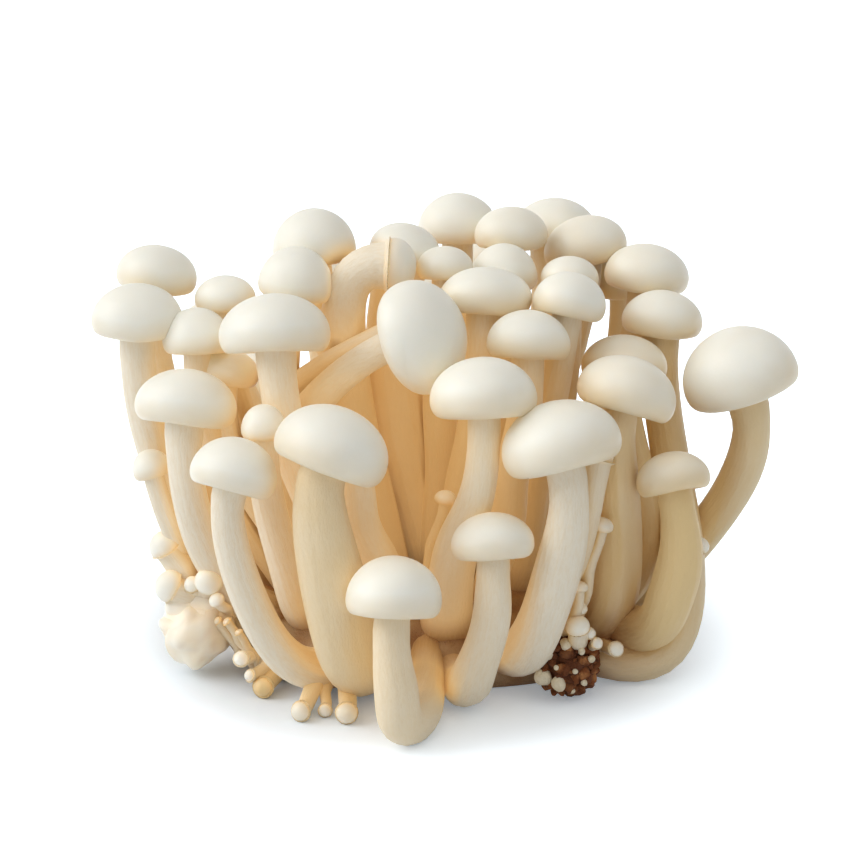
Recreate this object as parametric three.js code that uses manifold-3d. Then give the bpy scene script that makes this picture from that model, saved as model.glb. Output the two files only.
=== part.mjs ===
// A bunch of white shimeji (white beech mushrooms), cut from its growing bottle with the base still on.
// The mushrooms all rise from one pad of mycelium: each is a bent stem with a domed cap on its end.
// Millimetres, +Z up, front at -Y. The origin is the middle of the flat face where the pad was cut.
import * as THREE from "three";
import Module from "manifold-3d";
import { mergeVertices } from "three/addons/utils/BufferGeometryUtils.js";

const wasm = await Module();
wasm.setup();

// ---- driving dimensions ----
const GAP = 0.3; // clearance between pieces that touch
const DOME = 1.1; // a cap's height over its radius
const SHOULDER = 0.32; // height of its widest level, over the radius
const HOLLOW = { radius: 0.66, height: 0.16 }; // the hollow under it, over the radius
const LIP = 0.83; // radius of its lower edge, over the radius
const STEM = [0.36, 0.54, 0.35]; // stem radii at foot, belly and neck, over the cap's radius
const STEM_STEPS = 5;
const SETTING_OFF = 0.3; // length of a stem's Bezier handle at the foot, over its span
const COMING_IN = 0.36; // and of the one under the cap

// The pad: half width, half depth, height, height of its widest level, the cut face's share of the width.
const PAD = { wide: 36, deep: 20, tall: 12, waist: 5, cut: 0.84, sides: 28 };
const LOBES = [ // swellings on the pad
  { at: [-33, -4, 7.5], r: 6 },
  { at: [-28, -13, 3.8], r: 3.6 },
];
const CLUMP = { at: [21.5, -20, 6.2], size: [6, 4.6, 6] }; // growing medium held in the mycelium
const STUMP = { cut: [-44.9, -10.5, 5.4], top: [-36.5, -6, 17], r: 5.2 }; // a thick stem that was cut short

// The mushrooms, from the front to the back.
// cap: the middle of the cap's rim plane. r: the cap's radius. lean: how far the cap tips to +X and then to
// +Y, in degrees. foot: where the stem's axis starts. out: the way and how far it heads from the foot.
// in: the length of the handle under the cap, over the span. stem: radii at foot, belly and neck.
const MUSHROOMS = [
  // low at the front: their stems leave the pad's side and hook upwards
  { cap: [-7.9, -39, 22.5], r: 7.9, lean: [4, 18], foot: [-2, -13, 7], out: [-1.5, -35, -7], in: 0.62,
    stem: [3, 5.2, 2.6], dome: 1.25 },
  { cap: [8.6, -31, 29.6], r: 6.8, lean: [-3, 16], foot: [1.5, -13, 6], out: [3, -20, -9.5],
    stem: [3.8, 4, 2.4] },
  { cap: [-19, -30, 44.5], r: 9.7, lean: [21, 14], foot: [-11.5, -14, 6], out: [-2.5, -20, -5], in: 0.2,
    stem: [5, 6.6, 3.4] },
  { cap: [-34.6, -27, 40], r: 7.3, lean: [14, 16], foot: [-16, -14, 5], out: [-11.5, -14, -5.5],
    in: 0.25, stem: [4, 3.1, 2.6], dome: 1.2 },
  { cap: [20.3, -28, 44.3], r: 10, lean: [-12, 14], foot: [10.5, -12, 6], out: [3, -16, -2],
    stem: [3.4, 4.9, 2.9] },
  { cap: [39, -22, 37.8], r: 6.2, lean: [-10, 22], foot: [30, -8, 10], out: [10, -13, -4],
    stem: [3.6, 4.8, 2.6] },
  // tall at the front
  { cap: [7.1, -24, 51.8], r: 8.8, lean: [-2, 13], foot: [1.5, -12, 9], out: [-3, -6, 10],
    stem: [4.4, 3.8, 2.4] },
  { cap: [14.7, -10, 57.5], r: 7.1, lean: [2, 13], foot: [8, -6, 11], dome: 1.15 },
  { cap: [30.3, -16, 50], r: 8.5, lean: [16, 15], foot: [22.5, -9, 7.5], out: [13.5, -2, 3], in: 0.3,
    stem: [4, 5.8, 2.4] },
  { cap: [31.5, -2, 51], r: 7.3, lean: [3, 10], foot: [30, -1, 9], out: [13, 0, 12],
    stem: [2.8, 4, 2.6] },
  { cap: [52.4, -5, 49.2], r: 10, lean: [-19, 8], foot: [30, 5, 7], out: [9, 0, 4],
    stem: [3.6, 3.6, 3.2], dome: 1.22 },
  { cap: [-29.5, -18, 46], r: 3.8, lean: [0, 8], foot: [-22, -4, 8], out: [-3, -9, 2],
    stem: [3, 3.4, 2.2], dome: 1.5 },
  { cap: [-43.2, -12, 46.5], r: 8.5, lean: [6, 16], foot: [-28, -4, 7], out: [-9, -4, 4],
    stem: [2.8, 3.4, 3] },
  { cap: [-49.3, -7, 35.4], r: 3.4, lean: [-15, 10], foot: [-34, 1, 6], out: [-9, -2, 5],
    stem: [2, 2.4, 1.6], dome: 1.4 },
  // in the middle
  { cap: [-6.4, -10.5, 60.6], r: 9.8, lean: [59, -45], foot: [-7, -5, 11], out: [-42, 5, 18], in: 0.22,
    stem: [3.2, 3, 2.5] },
  { cap: [-27.7, -10, 58.5], r: 9.5, lean: [-2, 16], foot: [-14, -5, 10], stem: [3, 3.2, 3.1],
    dome: 1.05 },
  { cap: [7.6, 0, 62.5], r: 8, lean: [2, 14], foot: [3, 1, 12], dome: 1 },
  { cap: [21.5, -3, 62.8], r: 6.4, lean: [10, 14], foot: [13, 1, 11], dome: 1.2 },
  { cap: [-37.2, 1, 49.6], r: 5.6, lean: [8, 12], foot: [-22, 2, 10] },
  { cap: [-41.8, -1, 55.8], r: 6, lean: [0, 12], foot: [-27, 6, 9], dome: 1.3 },
  { cap: [-9.6, 4, 69.9], r: 5, lean: [92, 0], foot: [-8.6, 4, 12], out: [-8, 1, 36], in: 0.21,
    stem: [3.6, 3.4, 3.3], steps: 8 },
  { cap: [-25.3, 3, 64.6], r: 6.4, lean: [10, 6], foot: [-19, 3, 10], out: [-9, 0, 16], dome: 1.38 },
  { cap: [38.5, 6, 57.2], r: 6.95, lean: [6, 6], foot: [25, -13, 5.2], out: [30.5, -7, -9.5],
    stem: [3.4, 3.8, 3], steps: 8 },
  { cap: [0.8, 7, 67], r: 5, lean: [0, 8], foot: [-0.5, 6, 12], stem: [2.6, 3.6, 2] },
  { cap: [11.2, 11, 63.8], r: 5.9, lean: [0, 8], foot: [8, 6, 11], dome: 1.38 },
  { cap: [22.6, 9, 64.6], r: 5.1, lean: [0, 8], foot: [15, 7, 10], stem: [2.2, 3.2, 2] },
  { cap: [-52.3, 2, 58], r: 7.9, lean: [2, 8], foot: [-33, 7, 5], out: [-10, -1, 12], dome: 1.15 },
  { cap: [-37.4, 8, 61.1], r: 5.4, lean: [0, 8], foot: [-22, 8, 9] },
  // at the back, seen over the others
  { cap: [36.4, 16.5, 62.3], r: 7.5, lean: [6, 8], foot: [22, 7, 8] },
  { cap: [-6.6, 14, 68], r: 6.3, lean: [16, 8], foot: [-2.5, 10, 10], out: [0, 0, 16],
    stem: [2.8, 5.3, 3.6] },
  { cap: [12.7, 20, 69.2], r: 6.6, lean: [0, 8], foot: [9, 11, 9] },
  { cap: [26.8, 24, 65.6], r: 7.5, lean: [-14, 6], foot: [12, 12, 7], out: [0, 0, 16], in: 0.15,
    stem: [2, 2.6, 2] },
  { cap: [-21.7, 13, 68.3], r: 7.3, lean: [-6, 6], foot: [-10.5, 9, 10], stem: [2.6, 3, 2.4], dome: 1.3 },
  { cap: [-50.3, 14, 63], r: 7.2, lean: [8, 8], foot: [-30, 10, 5] },
  { cap: [3.3, 30, 68], r: 7.2, lean: [0, 6], foot: [2, 12, 9], dome: 1.2 },
  { cap: [21.2, 35, 66.2], r: 7.6, lean: [0, 6], foot: [12, 15, 7], stem: [3, 4.6, 4] },
  // in the middle, under the others' caps
  { cap: [-7, 1, 59.8], r: 3, lean: [67, 10], foot: [-19, -2, 10], out: [-14.8, 1.5, 25.5], in: 0.74,
    stem: [1.8, 2, 1.7] },
  { cap: [25.5, -22.5, 43], r: 3, lean: [10, 20], foot: [16, -10, 9], out: [4, -6, 6],
    stem: [3, 3, 2.4] },
  { cap: [-14.5, -19.5, 43.5], r: 4, lean: [0, 10], foot: [-7, -6, 10], out: [-2, -6, 9],
    stem: [3, 3.6, 2.6] },
  // at the back, behind the others
  { cap: [-39, 26, 50], r: 7.8, lean: [-10, -12], foot: [-22, 13, 6] },
  { cap: [-22, 34, 57], r: 8.2, lean: [-6, -14], foot: [-11, 15, 7] },
  { cap: [-3.5, 43, 50], r: 7.4, lean: [0, -18], foot: [-4, 16, 7] },
  { cap: [9, 48, 56], r: 7.6, lean: [2, -16], foot: [5, 18, 5] },
  { cap: [21, 49, 42], r: 7.4, lean: [6, -22], foot: [15, 18, 3] },
  { cap: [36, 32, 38.5], r: 7.2, lean: [8, -14], foot: [23, 12, 5] },
  { cap: [-34, 41, 36], r: 7, lean: [-10, -26], foot: [-17, 16, 4] },
  { cap: [-17, 48, 37], r: 6.4, lean: [-6, -30], foot: [-9, 19, 3] },
  { cap: [2, 54, 32], r: 6.6, lean: [0, -32], foot: [0, 19, 2] },
  { cap: [-47, 30, 31], r: 6.2, lean: [-18, -20], foot: [-29, 13, 4] },
  { cap: [33.8, 30, 58.6], r: 6.2, lean: [-6, -6], foot: [19, 17, 6], stem: [2.4, 3.4, 2.4] },
];

// Buds: young mushrooms that stayed small. Same keys.
const BUDS = [
  { cap: [0.8, -15, 33.5], r: 1.9, lean: [10, 0], foot: [-4, -9, 11], out: [0, -4, 8],
    stem: [1.1, 1.1, 0.9] },
  { cap: [26.9, -21.5, 31], r: 1.9, lean: [12, 0], foot: [21.5, -14, 7], out: [1.5, -5, 8],
    stem: [1.3, 1.3, 1] },
  { cap: [23.2, -23, 20.5], r: 1.6, lean: [0, 10], foot: [19, -15, 6], stem: [1, 1.1, 0.9] },
  { cap: [23.2, -23.5, 13.6], r: 2.1, lean: [-6, -14], foot: [21, -14, 5], stem: [1.6, 2, 1.5],
    dome: 1.3 },
  { cap: [-47.2, -7, 21.7], r: 2.9, lean: [-30, 0], foot: [-39, -8, 10], stem: [2.4, 2.8, 2.1], dome: 1.3 },
  { cap: [-45.8, -10, 15.8], r: 2.9, lean: [-60, -10], foot: [-37, -7, 12], stem: [1.8, 2.4, 2.1],
    dome: 1.3 },
  { cap: [-40.2, -12.2, 17.6], r: 2.4, lean: [20, -45], foot: [-38, -6, 11], out: [-1, -2, 3],
    stem: [1.6, 1.8, 1.5], dome: 1.3 },
];

// ---- one mushroom ----

const radians = THREE.MathUtils.degToRad;

// The cap's axis: up, tipped to +X and then to +Y by the lean.
function capAxis([right, back]) {
  const flat = Math.cos(radians(right));
  const tip = radians(back);
  return new THREE.Vector3(Math.sin(radians(right)), flat * Math.sin(tip), flat * Math.cos(tip));
}

// A stem's route: leaves the foot along "out" and comes into the cap along the cap's own axis.
function stemRoute(m) {
  const cap = new THREE.Vector3(...m.cap);
  const foot = new THREE.Vector3(...m.foot);
  const span = cap.distanceTo(foot);
  const splay = new THREE.Vector3(foot.x / PAD.wide, foot.y / PAD.deep, 1.3);
  const out = m.out ? new THREE.Vector3(...m.out) : splay.setLength(SETTING_OFF * span);
  const inward = capAxis(m.lean).setLength((m.in ?? COMING_IN) * span);
  return new THREE.CubicBezierCurve3(foot, foot.clone().add(out), cap.clone().sub(inward), cap);
}

// The outline from foot to apex: each ring has a radius, a share of the stem's route and a lift past it,
// along the cap's axis. Swell moves the whole outline outwards.
function mushroomOutline(m, swell) {
  const [foot, belly, neck] = m.stem ?? STEM.map((share) => share * m.r);
  const steps = m.steps ?? STEM_STEPS;
  const outline = [{ radius: 0, share: 0, lift: 0 }];
  for (let i = 0; i <= steps; i++) {
    const t = i / steps;
    const radius = foot * (1 - t) ** 2 + belly * 2 * t * (1 - t) + neck * t * t;
    outline.push({ radius: radius + swell, share: t, lift: i === steps ? -swell : 0 });
  }
  outline.push({ radius: HOLLOW.radius * m.r, share: 1, lift: HOLLOW.height * m.r - swell });
  outline.push({ radius: LIP * m.r + swell, share: 1, lift: -swell });
  const shoulder = SHOULDER * m.r;
  const dome = (m.dome ?? DOME) * m.r + swell;
  for (const angle of [0, 28, 58, 90].map(radians)) {
    const radius = angle < Math.PI / 2 ? (m.r + swell) * Math.cos(angle) : 0;
    outline.push({ radius, share: 1, lift: shoulder + (dome - shoulder) * Math.sin(angle) });
  }
  return outline;
}

// Turns the outline into a lathe, then bends it: each ring goes to its place on the stem's route.
function mushroomGeometry(m, swell = 0) {
  const outline = mushroomOutline(m, swell);
  const sides = m.r > 8 ? 12 : m.r > 5.5 ? 10 : 8;
  const points = outline.map(({ radius }, i) => new THREE.Vector2(radius, i));
  const lathe = new THREE.LatheGeometry(points, sides);
  const route = stemRoute(m);
  const hinge = route.getTangent(0).cross(route.getTangent(1)).normalize();
  const position = lathe.attributes.position;
  for (let k = 0; k < position.count; k++) {
    const { share, lift } = outline[k % outline.length];
    const along = route.getTangent(share);
    const side = hinge.clone().addScaledVector(along, -hinge.dot(along)).normalize();
    const back = side.clone().cross(along);
    const at = route.getPoint(share).addScaledVector(along, lift);
    at.addScaledVector(side, position.getX(k)).addScaledVector(back, position.getZ(k));
    position.setXYZ(k, at.x, at.y, at.z);
  }
  return lathe;
}

// ---- what the mushrooms grow from ----

// The pad: a low, round-edged lump with a flat cut face under it.
function padGeometry(swell) {
  const outline = [[0, 0], [PAD.cut, 0]];
  for (const angle of [0, 25, 50, 75, 90].map(radians)) {
    const radius = angle < Math.PI / 2 ? Math.cos(angle) : 0;
    outline.push([radius, PAD.waist + (PAD.tall - PAD.waist) * Math.sin(angle)]);
  }
  const points = outline.map(([radius, z]) => new THREE.Vector2(radius, z ? z + swell : -swell));
  const lathe = new THREE.LatheGeometry(points, PAD.sides).rotateX(Math.PI / 2);
  return lathe.scale(PAD.wide + swell, PAD.deep + swell, 1);
}

function baseSolid(swell = 0) {
  const lobes = LOBES.map(({ at, r }) => new THREE.SphereGeometry(r + swell, 12, 8).translate(...at));
  return lobes.reduce((solid, lobe) => solid.add(solidOf(lobe)), solidOf(padGeometry(swell)));
}

// The stump: a tapering stem with its cut face outwards and its thin end in the pad.
function stumpGeometry(swell = 0) {
  const cut = new THREE.Vector3(...STUMP.cut);
  const axis = new THREE.Vector3(...STUMP.top).sub(cut);
  const length = axis.length();
  const outline = [
    [0, 0], [0.55, 0], [0.86, 0.06], [1, 0.22], [0.98, 0.42], [0.82, 0.7], [0.55, 1], [0, 1],
  ];
  const points = outline.map(([radius, share]) => {
    return new THREE.Vector2(radius && STUMP.r * radius + swell, share * length + (share ? swell : -swell));
  });
  const upright = new THREE.Quaternion().setFromUnitVectors(new THREE.Vector3(0, 1, 0), axis.normalize());
  return new THREE.LatheGeometry(points, 12).applyQuaternion(upright).translate(...cut);
}

function clumpGeometry(swell = 0) {
  const [wide, deep, tall] = CLUMP.size;
  const lump = new THREE.IcosahedronGeometry(1, 1).scale(wide + swell, deep + swell, tall + swell);
  return lump.translate(...CLUMP.at);
}

// ---- solids ----

function solidOf(geometry) {
  geometry.deleteAttribute("normal");
  geometry.deleteAttribute("uv");
  const merged = mergeVertices(geometry, 1e-3);
  const vertProperties = merged.attributes.position.array;
  const triVerts = new Uint32Array(merged.index.array);
  return new wasm.Manifold(new wasm.Mesh({ numProp: 3, vertProperties, triVerts }));
}

function geometryOf(solid) {
  const { vertProperties, triVerts } = solid.getMesh();
  const geometry = new THREE.BufferGeometry();
  geometry.setAttribute("position", new THREE.BufferAttribute(vertProperties, 3));
  return geometry.setIndex(new THREE.BufferAttribute(triVerts, 1));
}

// What is left of a piece once everything placed before it, with the gap round it, is cut away.
// Where the cut takes a corner right off, the corner is dropped.
const placed = [];
function clearOfTheRest(solid) {
  for (const earlier of placed) solid = solid.subtract(earlier);
  return solid.decompose().reduce((a, b) => (b.volume() > a.volume() ? b : a));
}

// ---- the bunch ----
const bunch = new THREE.Group();

function addPiece(name, solidWith, color, roughness) {
  const material = new THREE.MeshStandardMaterial({ color, roughness, metalness: 0 });
  const mesh = new THREE.Mesh(geometryOf(clearOfTheRest(solidWith(0))), material);
  mesh.name = name;
  bunch.add(mesh);
  placed.push(solidWith(GAP));
}

function addMushrooms(kind, list, color) {
  list.forEach((m, i) => {
    const number = String(i + 1).padStart(2, "0");
    addPiece(`${kind}_${number}`, (swell) => solidOf(mushroomGeometry(m, swell)), color, 0.5);
  });
}

addPiece("mycelium_base", baseSolid, 0xe6d3b0, 0.8);
addMushrooms("mushroom", MUSHROOMS, 0xf4eedf);
addPiece("cut_stump", (swell) => solidOf(stumpGeometry(swell)), 0xeadbbd, 0.6);
addMushrooms("bud", BUDS, 0xeedfbd);
addPiece("growing_medium", (swell) => solidOf(clumpGeometry(swell)), 0x5a3517, 0.95);

export default bunch;
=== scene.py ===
# %% [markdown]
# # A bunch of white shimeji mushrooms
#
# This lesson dresses a plain solid model of a mushroom bunch in Blender. The solid model, called the frame,
# already says how big the bunch is and where each mushroom stands. Here every mushroom gets its real skin: a
# fibrous stem, gills under the cap and a waxy dome. All lengths are in metres, +Z is up and the front of the
# bunch faces -Y.

import bpy
import numpy as np
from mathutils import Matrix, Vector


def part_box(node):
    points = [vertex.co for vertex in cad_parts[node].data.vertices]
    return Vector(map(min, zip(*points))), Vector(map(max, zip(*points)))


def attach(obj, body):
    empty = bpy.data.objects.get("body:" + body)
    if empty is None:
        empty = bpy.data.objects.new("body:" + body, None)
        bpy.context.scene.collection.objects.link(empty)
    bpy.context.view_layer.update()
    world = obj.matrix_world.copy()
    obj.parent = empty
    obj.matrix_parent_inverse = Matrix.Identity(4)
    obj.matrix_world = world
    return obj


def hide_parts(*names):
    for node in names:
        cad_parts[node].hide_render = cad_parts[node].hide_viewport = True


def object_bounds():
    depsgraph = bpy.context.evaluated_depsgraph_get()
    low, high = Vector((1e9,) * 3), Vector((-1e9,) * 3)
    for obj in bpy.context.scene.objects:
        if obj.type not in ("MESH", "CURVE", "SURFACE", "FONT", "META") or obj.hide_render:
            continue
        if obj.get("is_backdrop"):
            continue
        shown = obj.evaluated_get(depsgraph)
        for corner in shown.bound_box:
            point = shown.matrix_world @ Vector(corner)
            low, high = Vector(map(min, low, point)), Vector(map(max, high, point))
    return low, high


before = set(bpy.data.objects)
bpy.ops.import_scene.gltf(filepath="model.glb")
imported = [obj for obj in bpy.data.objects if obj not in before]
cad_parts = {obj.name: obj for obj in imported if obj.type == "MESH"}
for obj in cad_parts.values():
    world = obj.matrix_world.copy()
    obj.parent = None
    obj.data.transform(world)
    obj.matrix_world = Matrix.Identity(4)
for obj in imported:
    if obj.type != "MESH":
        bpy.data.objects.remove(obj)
cad_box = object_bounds()
print("nodes in the frame:", len(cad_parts))

# %% [markdown]
# ## The mushrooms' places
#
# A mushroom is a bent stem with a cap on its end, so a few values say where it is. They are the same ones
# that the solid model was made from, in millimetres, because a bent stem can't be read back from a box.
# `cap` is the middle of the rim's plane, `r` the cap's radius, and `lean` how far it tips to +X and then to
# +Y, in degrees. `foot` is where the stem starts, `out` the way and how far it heads from there, `in` the
# length of the curve's handle under the cap over the span, `stem` its radius at the foot, in the belly and
# at the neck, and `dome` the cap's height over `r`.

# %% Places of the mushrooms and buds
MM = 0.001
# the solid base: half sides, height, height of its widest level, and the cut face's share of the half sides
PAD = {"wide": 36, "deep": 20, "tall": 12, "waist": 5, "cut": 0.84}
# swellings on it, the crumb of growing medium and the stump: their middles or ends, and sizes
LOBES = [{"at": [-33, -4, 7.5], "r": 6}, {"at": [-28, -13, 3.8], "r": 3.6}]
CLUMP = {"at": [21.5, -20, 6.2], "size": [6, 4.6, 6]}
STUMP = {"cut": [-44.9, -10.5, 5.4], "top": [-36.5, -6, 17], "r": 5.2}
STEM = np.array([0.36, 0.54, 0.35])  # usual stem radii at foot, belly and neck, over the cap's radius
SETTING_OFF = 0.3  # length of a stem's handle at the foot, over its span
COMING_IN = 0.36  # and of the one under the cap
RISING = 1.3  # how steeply a stem without an `out` sets off, against how far it splays
DOME = 1.1  # a cap's height over its radius
SHOULDER = 0.32  # height of its widest level, over the radius

MUSHROOMS = [
    # low at the front: their stems leave the pad's side and hook upwards
    {"cap": [-7.9, -39, 22.5], "r": 7.9, "lean": [4, 18], "foot": [-2, -13, 7], "out": [-1.5, -35, -7],
     "in": 0.62, "stem": [3, 5.2, 2.6], "dome": 1.25},
    {"cap": [8.6, -31, 29.6], "r": 6.8, "lean": [-3, 16], "foot": [1.5, -13, 6], "out": [3, -20, -9.5],
     "stem": [3.8, 4, 2.4]},
    {"cap": [-19, -30, 44.5], "r": 9.7, "lean": [21, 14], "foot": [-11.5, -14, 6],
     "out": [-2.5, -20, -5], "in": 0.2, "stem": [5, 6.6, 3.4]},
    {"cap": [-34.6, -27, 40], "r": 7.3, "lean": [14, 16], "foot": [-16, -14, 5],
     "out": [-11.5, -14, -5.5], "in": 0.25, "stem": [4, 3.1, 2.6], "dome": 1.2},
    {"cap": [20.3, -28, 44.3], "r": 10, "lean": [-12, 14], "foot": [10.5, -12, 6], "out": [3, -16, -2],
     "stem": [3.4, 4.9, 2.9]},
    {"cap": [39, -22, 37.8], "r": 6.2, "lean": [-10, 22], "foot": [30, -8, 10], "out": [10, -13, -4],
     "stem": [3.6, 4.8, 2.6]},
    # tall at the front
    {"cap": [7.1, -24, 51.8], "r": 8.8, "lean": [-2, 13], "foot": [1.5, -12, 9], "out": [-3, -6, 10],
     "stem": [4.4, 3.8, 2.4]},
    {"cap": [14.7, -10, 57.5], "r": 7.1, "lean": [2, 13], "foot": [8, -6, 11], "dome": 1.15},
    {"cap": [30.3, -16, 50], "r": 8.5, "lean": [16, 15], "foot": [22.5, -9, 7.5], "out": [13.5, -2, 3],
     "in": 0.3, "stem": [4, 5.8, 2.4]},
    {"cap": [31.5, -2, 51], "r": 7.3, "lean": [3, 10], "foot": [30, -1, 9], "out": [13, 0, 12],
     "stem": [2.8, 4, 2.6]},
    {"cap": [52.4, -5, 49.2], "r": 10, "lean": [-19, 8], "foot": [30, 5, 7], "out": [9, 0, 4],
     "stem": [3.6, 3.6, 3.2], "dome": 1.22},
    {"cap": [-29.5, -18, 46], "r": 3.8, "lean": [0, 8], "foot": [-22, -4, 8], "out": [-3, -9, 2],
     "stem": [3, 3.4, 2.2], "dome": 1.5},
    {"cap": [-43.2, -12, 46.5], "r": 8.5, "lean": [6, 16], "foot": [-28, -4, 7], "out": [-9, -4, 4],
     "stem": [2.8, 3.4, 3]},
    {"cap": [-49.3, -7, 35.4], "r": 3.4, "lean": [-15, 10], "foot": [-34, 1, 6], "out": [-9, -2, 5],
     "stem": [2, 2.4, 1.6], "dome": 1.4},
    # in the middle
    {"cap": [-6.4, -10.5, 60.6], "r": 9.8, "lean": [59, -45], "foot": [-7, -5, 11], "out": [-42, 5, 18],
     "in": 0.22, "stem": [3.2, 3, 2.5]},
    {"cap": [-27.7, -10, 58.5], "r": 9.5, "lean": [-2, 16], "foot": [-14, -5, 10],
     "stem": [3, 3.2, 3.1], "dome": 1.05},
    {"cap": [7.6, 0, 62.5], "r": 8, "lean": [2, 14], "foot": [3, 1, 12], "dome": 1},
    {"cap": [21.5, -3, 62.8], "r": 6.4, "lean": [10, 14], "foot": [13, 1, 11], "dome": 1.2},
    {"cap": [-37.2, 1, 49.6], "r": 5.6, "lean": [8, 12], "foot": [-22, 2, 10]},
    {"cap": [-41.8, -1, 55.8], "r": 6, "lean": [0, 12], "foot": [-27, 6, 9], "dome": 1.3},
    {"cap": [-9.6, 4, 69.9], "r": 5, "lean": [92, 0], "foot": [-8.6, 4, 12], "out": [-8, 1, 36],
     "in": 0.21, "stem": [3.6, 3.4, 3.3]},
    {"cap": [-25.3, 3, 64.6], "r": 6.4, "lean": [10, 6], "foot": [-19, 3, 10],
     "out": [-9, 0, 16], "dome": 1.38},
    {"cap": [38.5, 6, 57.2], "r": 6.95, "lean": [6, 6], "foot": [25, -13, 5.2], "out": [30.5, -7, -9.5],
     "stem": [3.4, 3.8, 3]},
    {"cap": [0.8, 7, 67], "r": 5, "lean": [0, 8], "foot": [-0.5, 6, 12], "stem": [2.6, 3.6, 2]},
    {"cap": [11.2, 11, 63.8], "r": 5.9, "lean": [0, 8], "foot": [8, 6, 11], "dome": 1.38},
    {"cap": [22.6, 9, 64.6], "r": 5.1, "lean": [0, 8], "foot": [15, 7, 10], "stem": [2.2, 3.2, 2]},
    {"cap": [-52.3, 2, 58], "r": 7.9, "lean": [2, 8], "foot": [-33, 7, 5],
     "out": [-10, -1, 12], "dome": 1.15},
    {"cap": [-37.4, 8, 61.1], "r": 5.4, "lean": [0, 8], "foot": [-22, 8, 9]},
    # at the back, seen over the others
    {"cap": [36.4, 16.5, 62.3], "r": 7.5, "lean": [6, 8], "foot": [22, 7, 8]},
    {"cap": [-6.6, 14, 68], "r": 6.3, "lean": [16, 8], "foot": [-2.5, 10, 10], "out": [0, 0, 16],
     "stem": [2.8, 5.3, 3.6]},
    {"cap": [12.7, 20, 69.2], "r": 6.6, "lean": [0, 8], "foot": [9, 11, 9]},
    {"cap": [26.8, 24, 65.6], "r": 7.5, "lean": [-14, 6], "foot": [12, 12, 7], "out": [0, 0, 16],
     "in": 0.15, "stem": [2, 2.6, 2]},
    {"cap": [-21.7, 13, 68.3], "r": 7.3, "lean": [-6, 6], "foot": [-10.5, 9, 10],
     "stem": [2.6, 3, 2.4], "dome": 1.3},
    {"cap": [-50.3, 14, 63], "r": 7.2, "lean": [8, 8], "foot": [-30, 10, 5]},
    {"cap": [3.3, 30, 68], "r": 7.2, "lean": [0, 6], "foot": [2, 12, 9], "dome": 1.2},
    {"cap": [21.2, 35, 66.2], "r": 7.6, "lean": [0, 6], "foot": [12, 15, 7], "stem": [3, 4.6, 4]},
    # in the middle, under the others' caps
    {"cap": [-7, 1, 59.8], "r": 3, "lean": [67, 10], "foot": [-19, -2, 10], "out": [-14.8, 1.5, 25.5],
     "in": 0.74, "stem": [1.8, 2, 1.7]},
    {"cap": [25.5, -22.5, 43], "r": 3, "lean": [10, 20], "foot": [16, -10, 9], "out": [4, -6, 6],
     "stem": [3, 3, 2.4]},
    {"cap": [-14.5, -19.5, 43.5], "r": 4, "lean": [0, 10], "foot": [-7, -6, 10], "out": [-2, -6, 9],
     "stem": [3, 3.6, 2.6]},
    # at the back, behind the others
    {"cap": [-39, 26, 50], "r": 7.8, "lean": [-10, -12], "foot": [-22, 13, 6]},
    {"cap": [-22, 34, 57], "r": 8.2, "lean": [-6, -14], "foot": [-11, 15, 7]},
    {"cap": [-3.5, 43, 50], "r": 7.4, "lean": [0, -18], "foot": [-4, 16, 7]},
    {"cap": [9, 48, 56], "r": 7.6, "lean": [2, -16], "foot": [5, 18, 5]},
    {"cap": [21, 49, 42], "r": 7.4, "lean": [6, -22], "foot": [15, 18, 3]},
    {"cap": [36, 32, 38.5], "r": 7.2, "lean": [8, -14], "foot": [23, 12, 5]},
    {"cap": [-34, 41, 36], "r": 7, "lean": [-10, -26], "foot": [-17, 16, 4]},
    {"cap": [-17, 48, 37], "r": 6.4, "lean": [-6, -30], "foot": [-9, 19, 3]},
    {"cap": [2, 54, 32], "r": 6.6, "lean": [0, -32], "foot": [0, 19, 2]},
    {"cap": [-47, 30, 31], "r": 6.2, "lean": [-18, -20], "foot": [-29, 13, 4]},
    {"cap": [33.8, 30, 58.6], "r": 6.2, "lean": [-6, -6], "foot": [19, 17, 6], "stem": [2.4, 3.4, 2.4]},
]

BUDS = [
    {"cap": [0.8, -15, 33.5], "r": 1.9, "lean": [10, 0], "foot": [-4, -9, 11], "out": [0, -4, 8],
     "stem": [1.1, 1.1, 0.9]},
    {"cap": [26.9, -21.5, 31], "r": 1.9, "lean": [12, 0], "foot": [21.5, -14, 7], "out": [1.5, -5, 8],
     "stem": [1.3, 1.3, 1]},
    {"cap": [23.2, -23, 20.5], "r": 1.6, "lean": [0, 10], "foot": [19, -15, 6], "stem": [1, 1.1, 0.9]},
    {"cap": [23.2, -23.5, 13.6], "r": 2.1, "lean": [-6, -14], "foot": [21, -14, 5],
     "stem": [1.6, 2, 1.5], "dome": 1.3},
    {"cap": [-47.2, -7, 21.7], "r": 2.9, "lean": [-30, 0], "foot": [-39, -8, 10],
     "stem": [2.4, 2.8, 2.1], "dome": 1.3},
    {"cap": [-45.8, -10, 15.8], "r": 2.9, "lean": [-60, -10], "foot": [-37, -7, 12],
     "stem": [1.8, 2.4, 2.1], "dome": 1.3},
    {"cap": [-40.2, -12.2, 17.6], "r": 2.4, "lean": [20, -45], "foot": [-38, -6, 11],
     "out": [-1, -2, 3], "stem": [1.6, 1.8, 1.5], "dome": 1.3},
]


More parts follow.
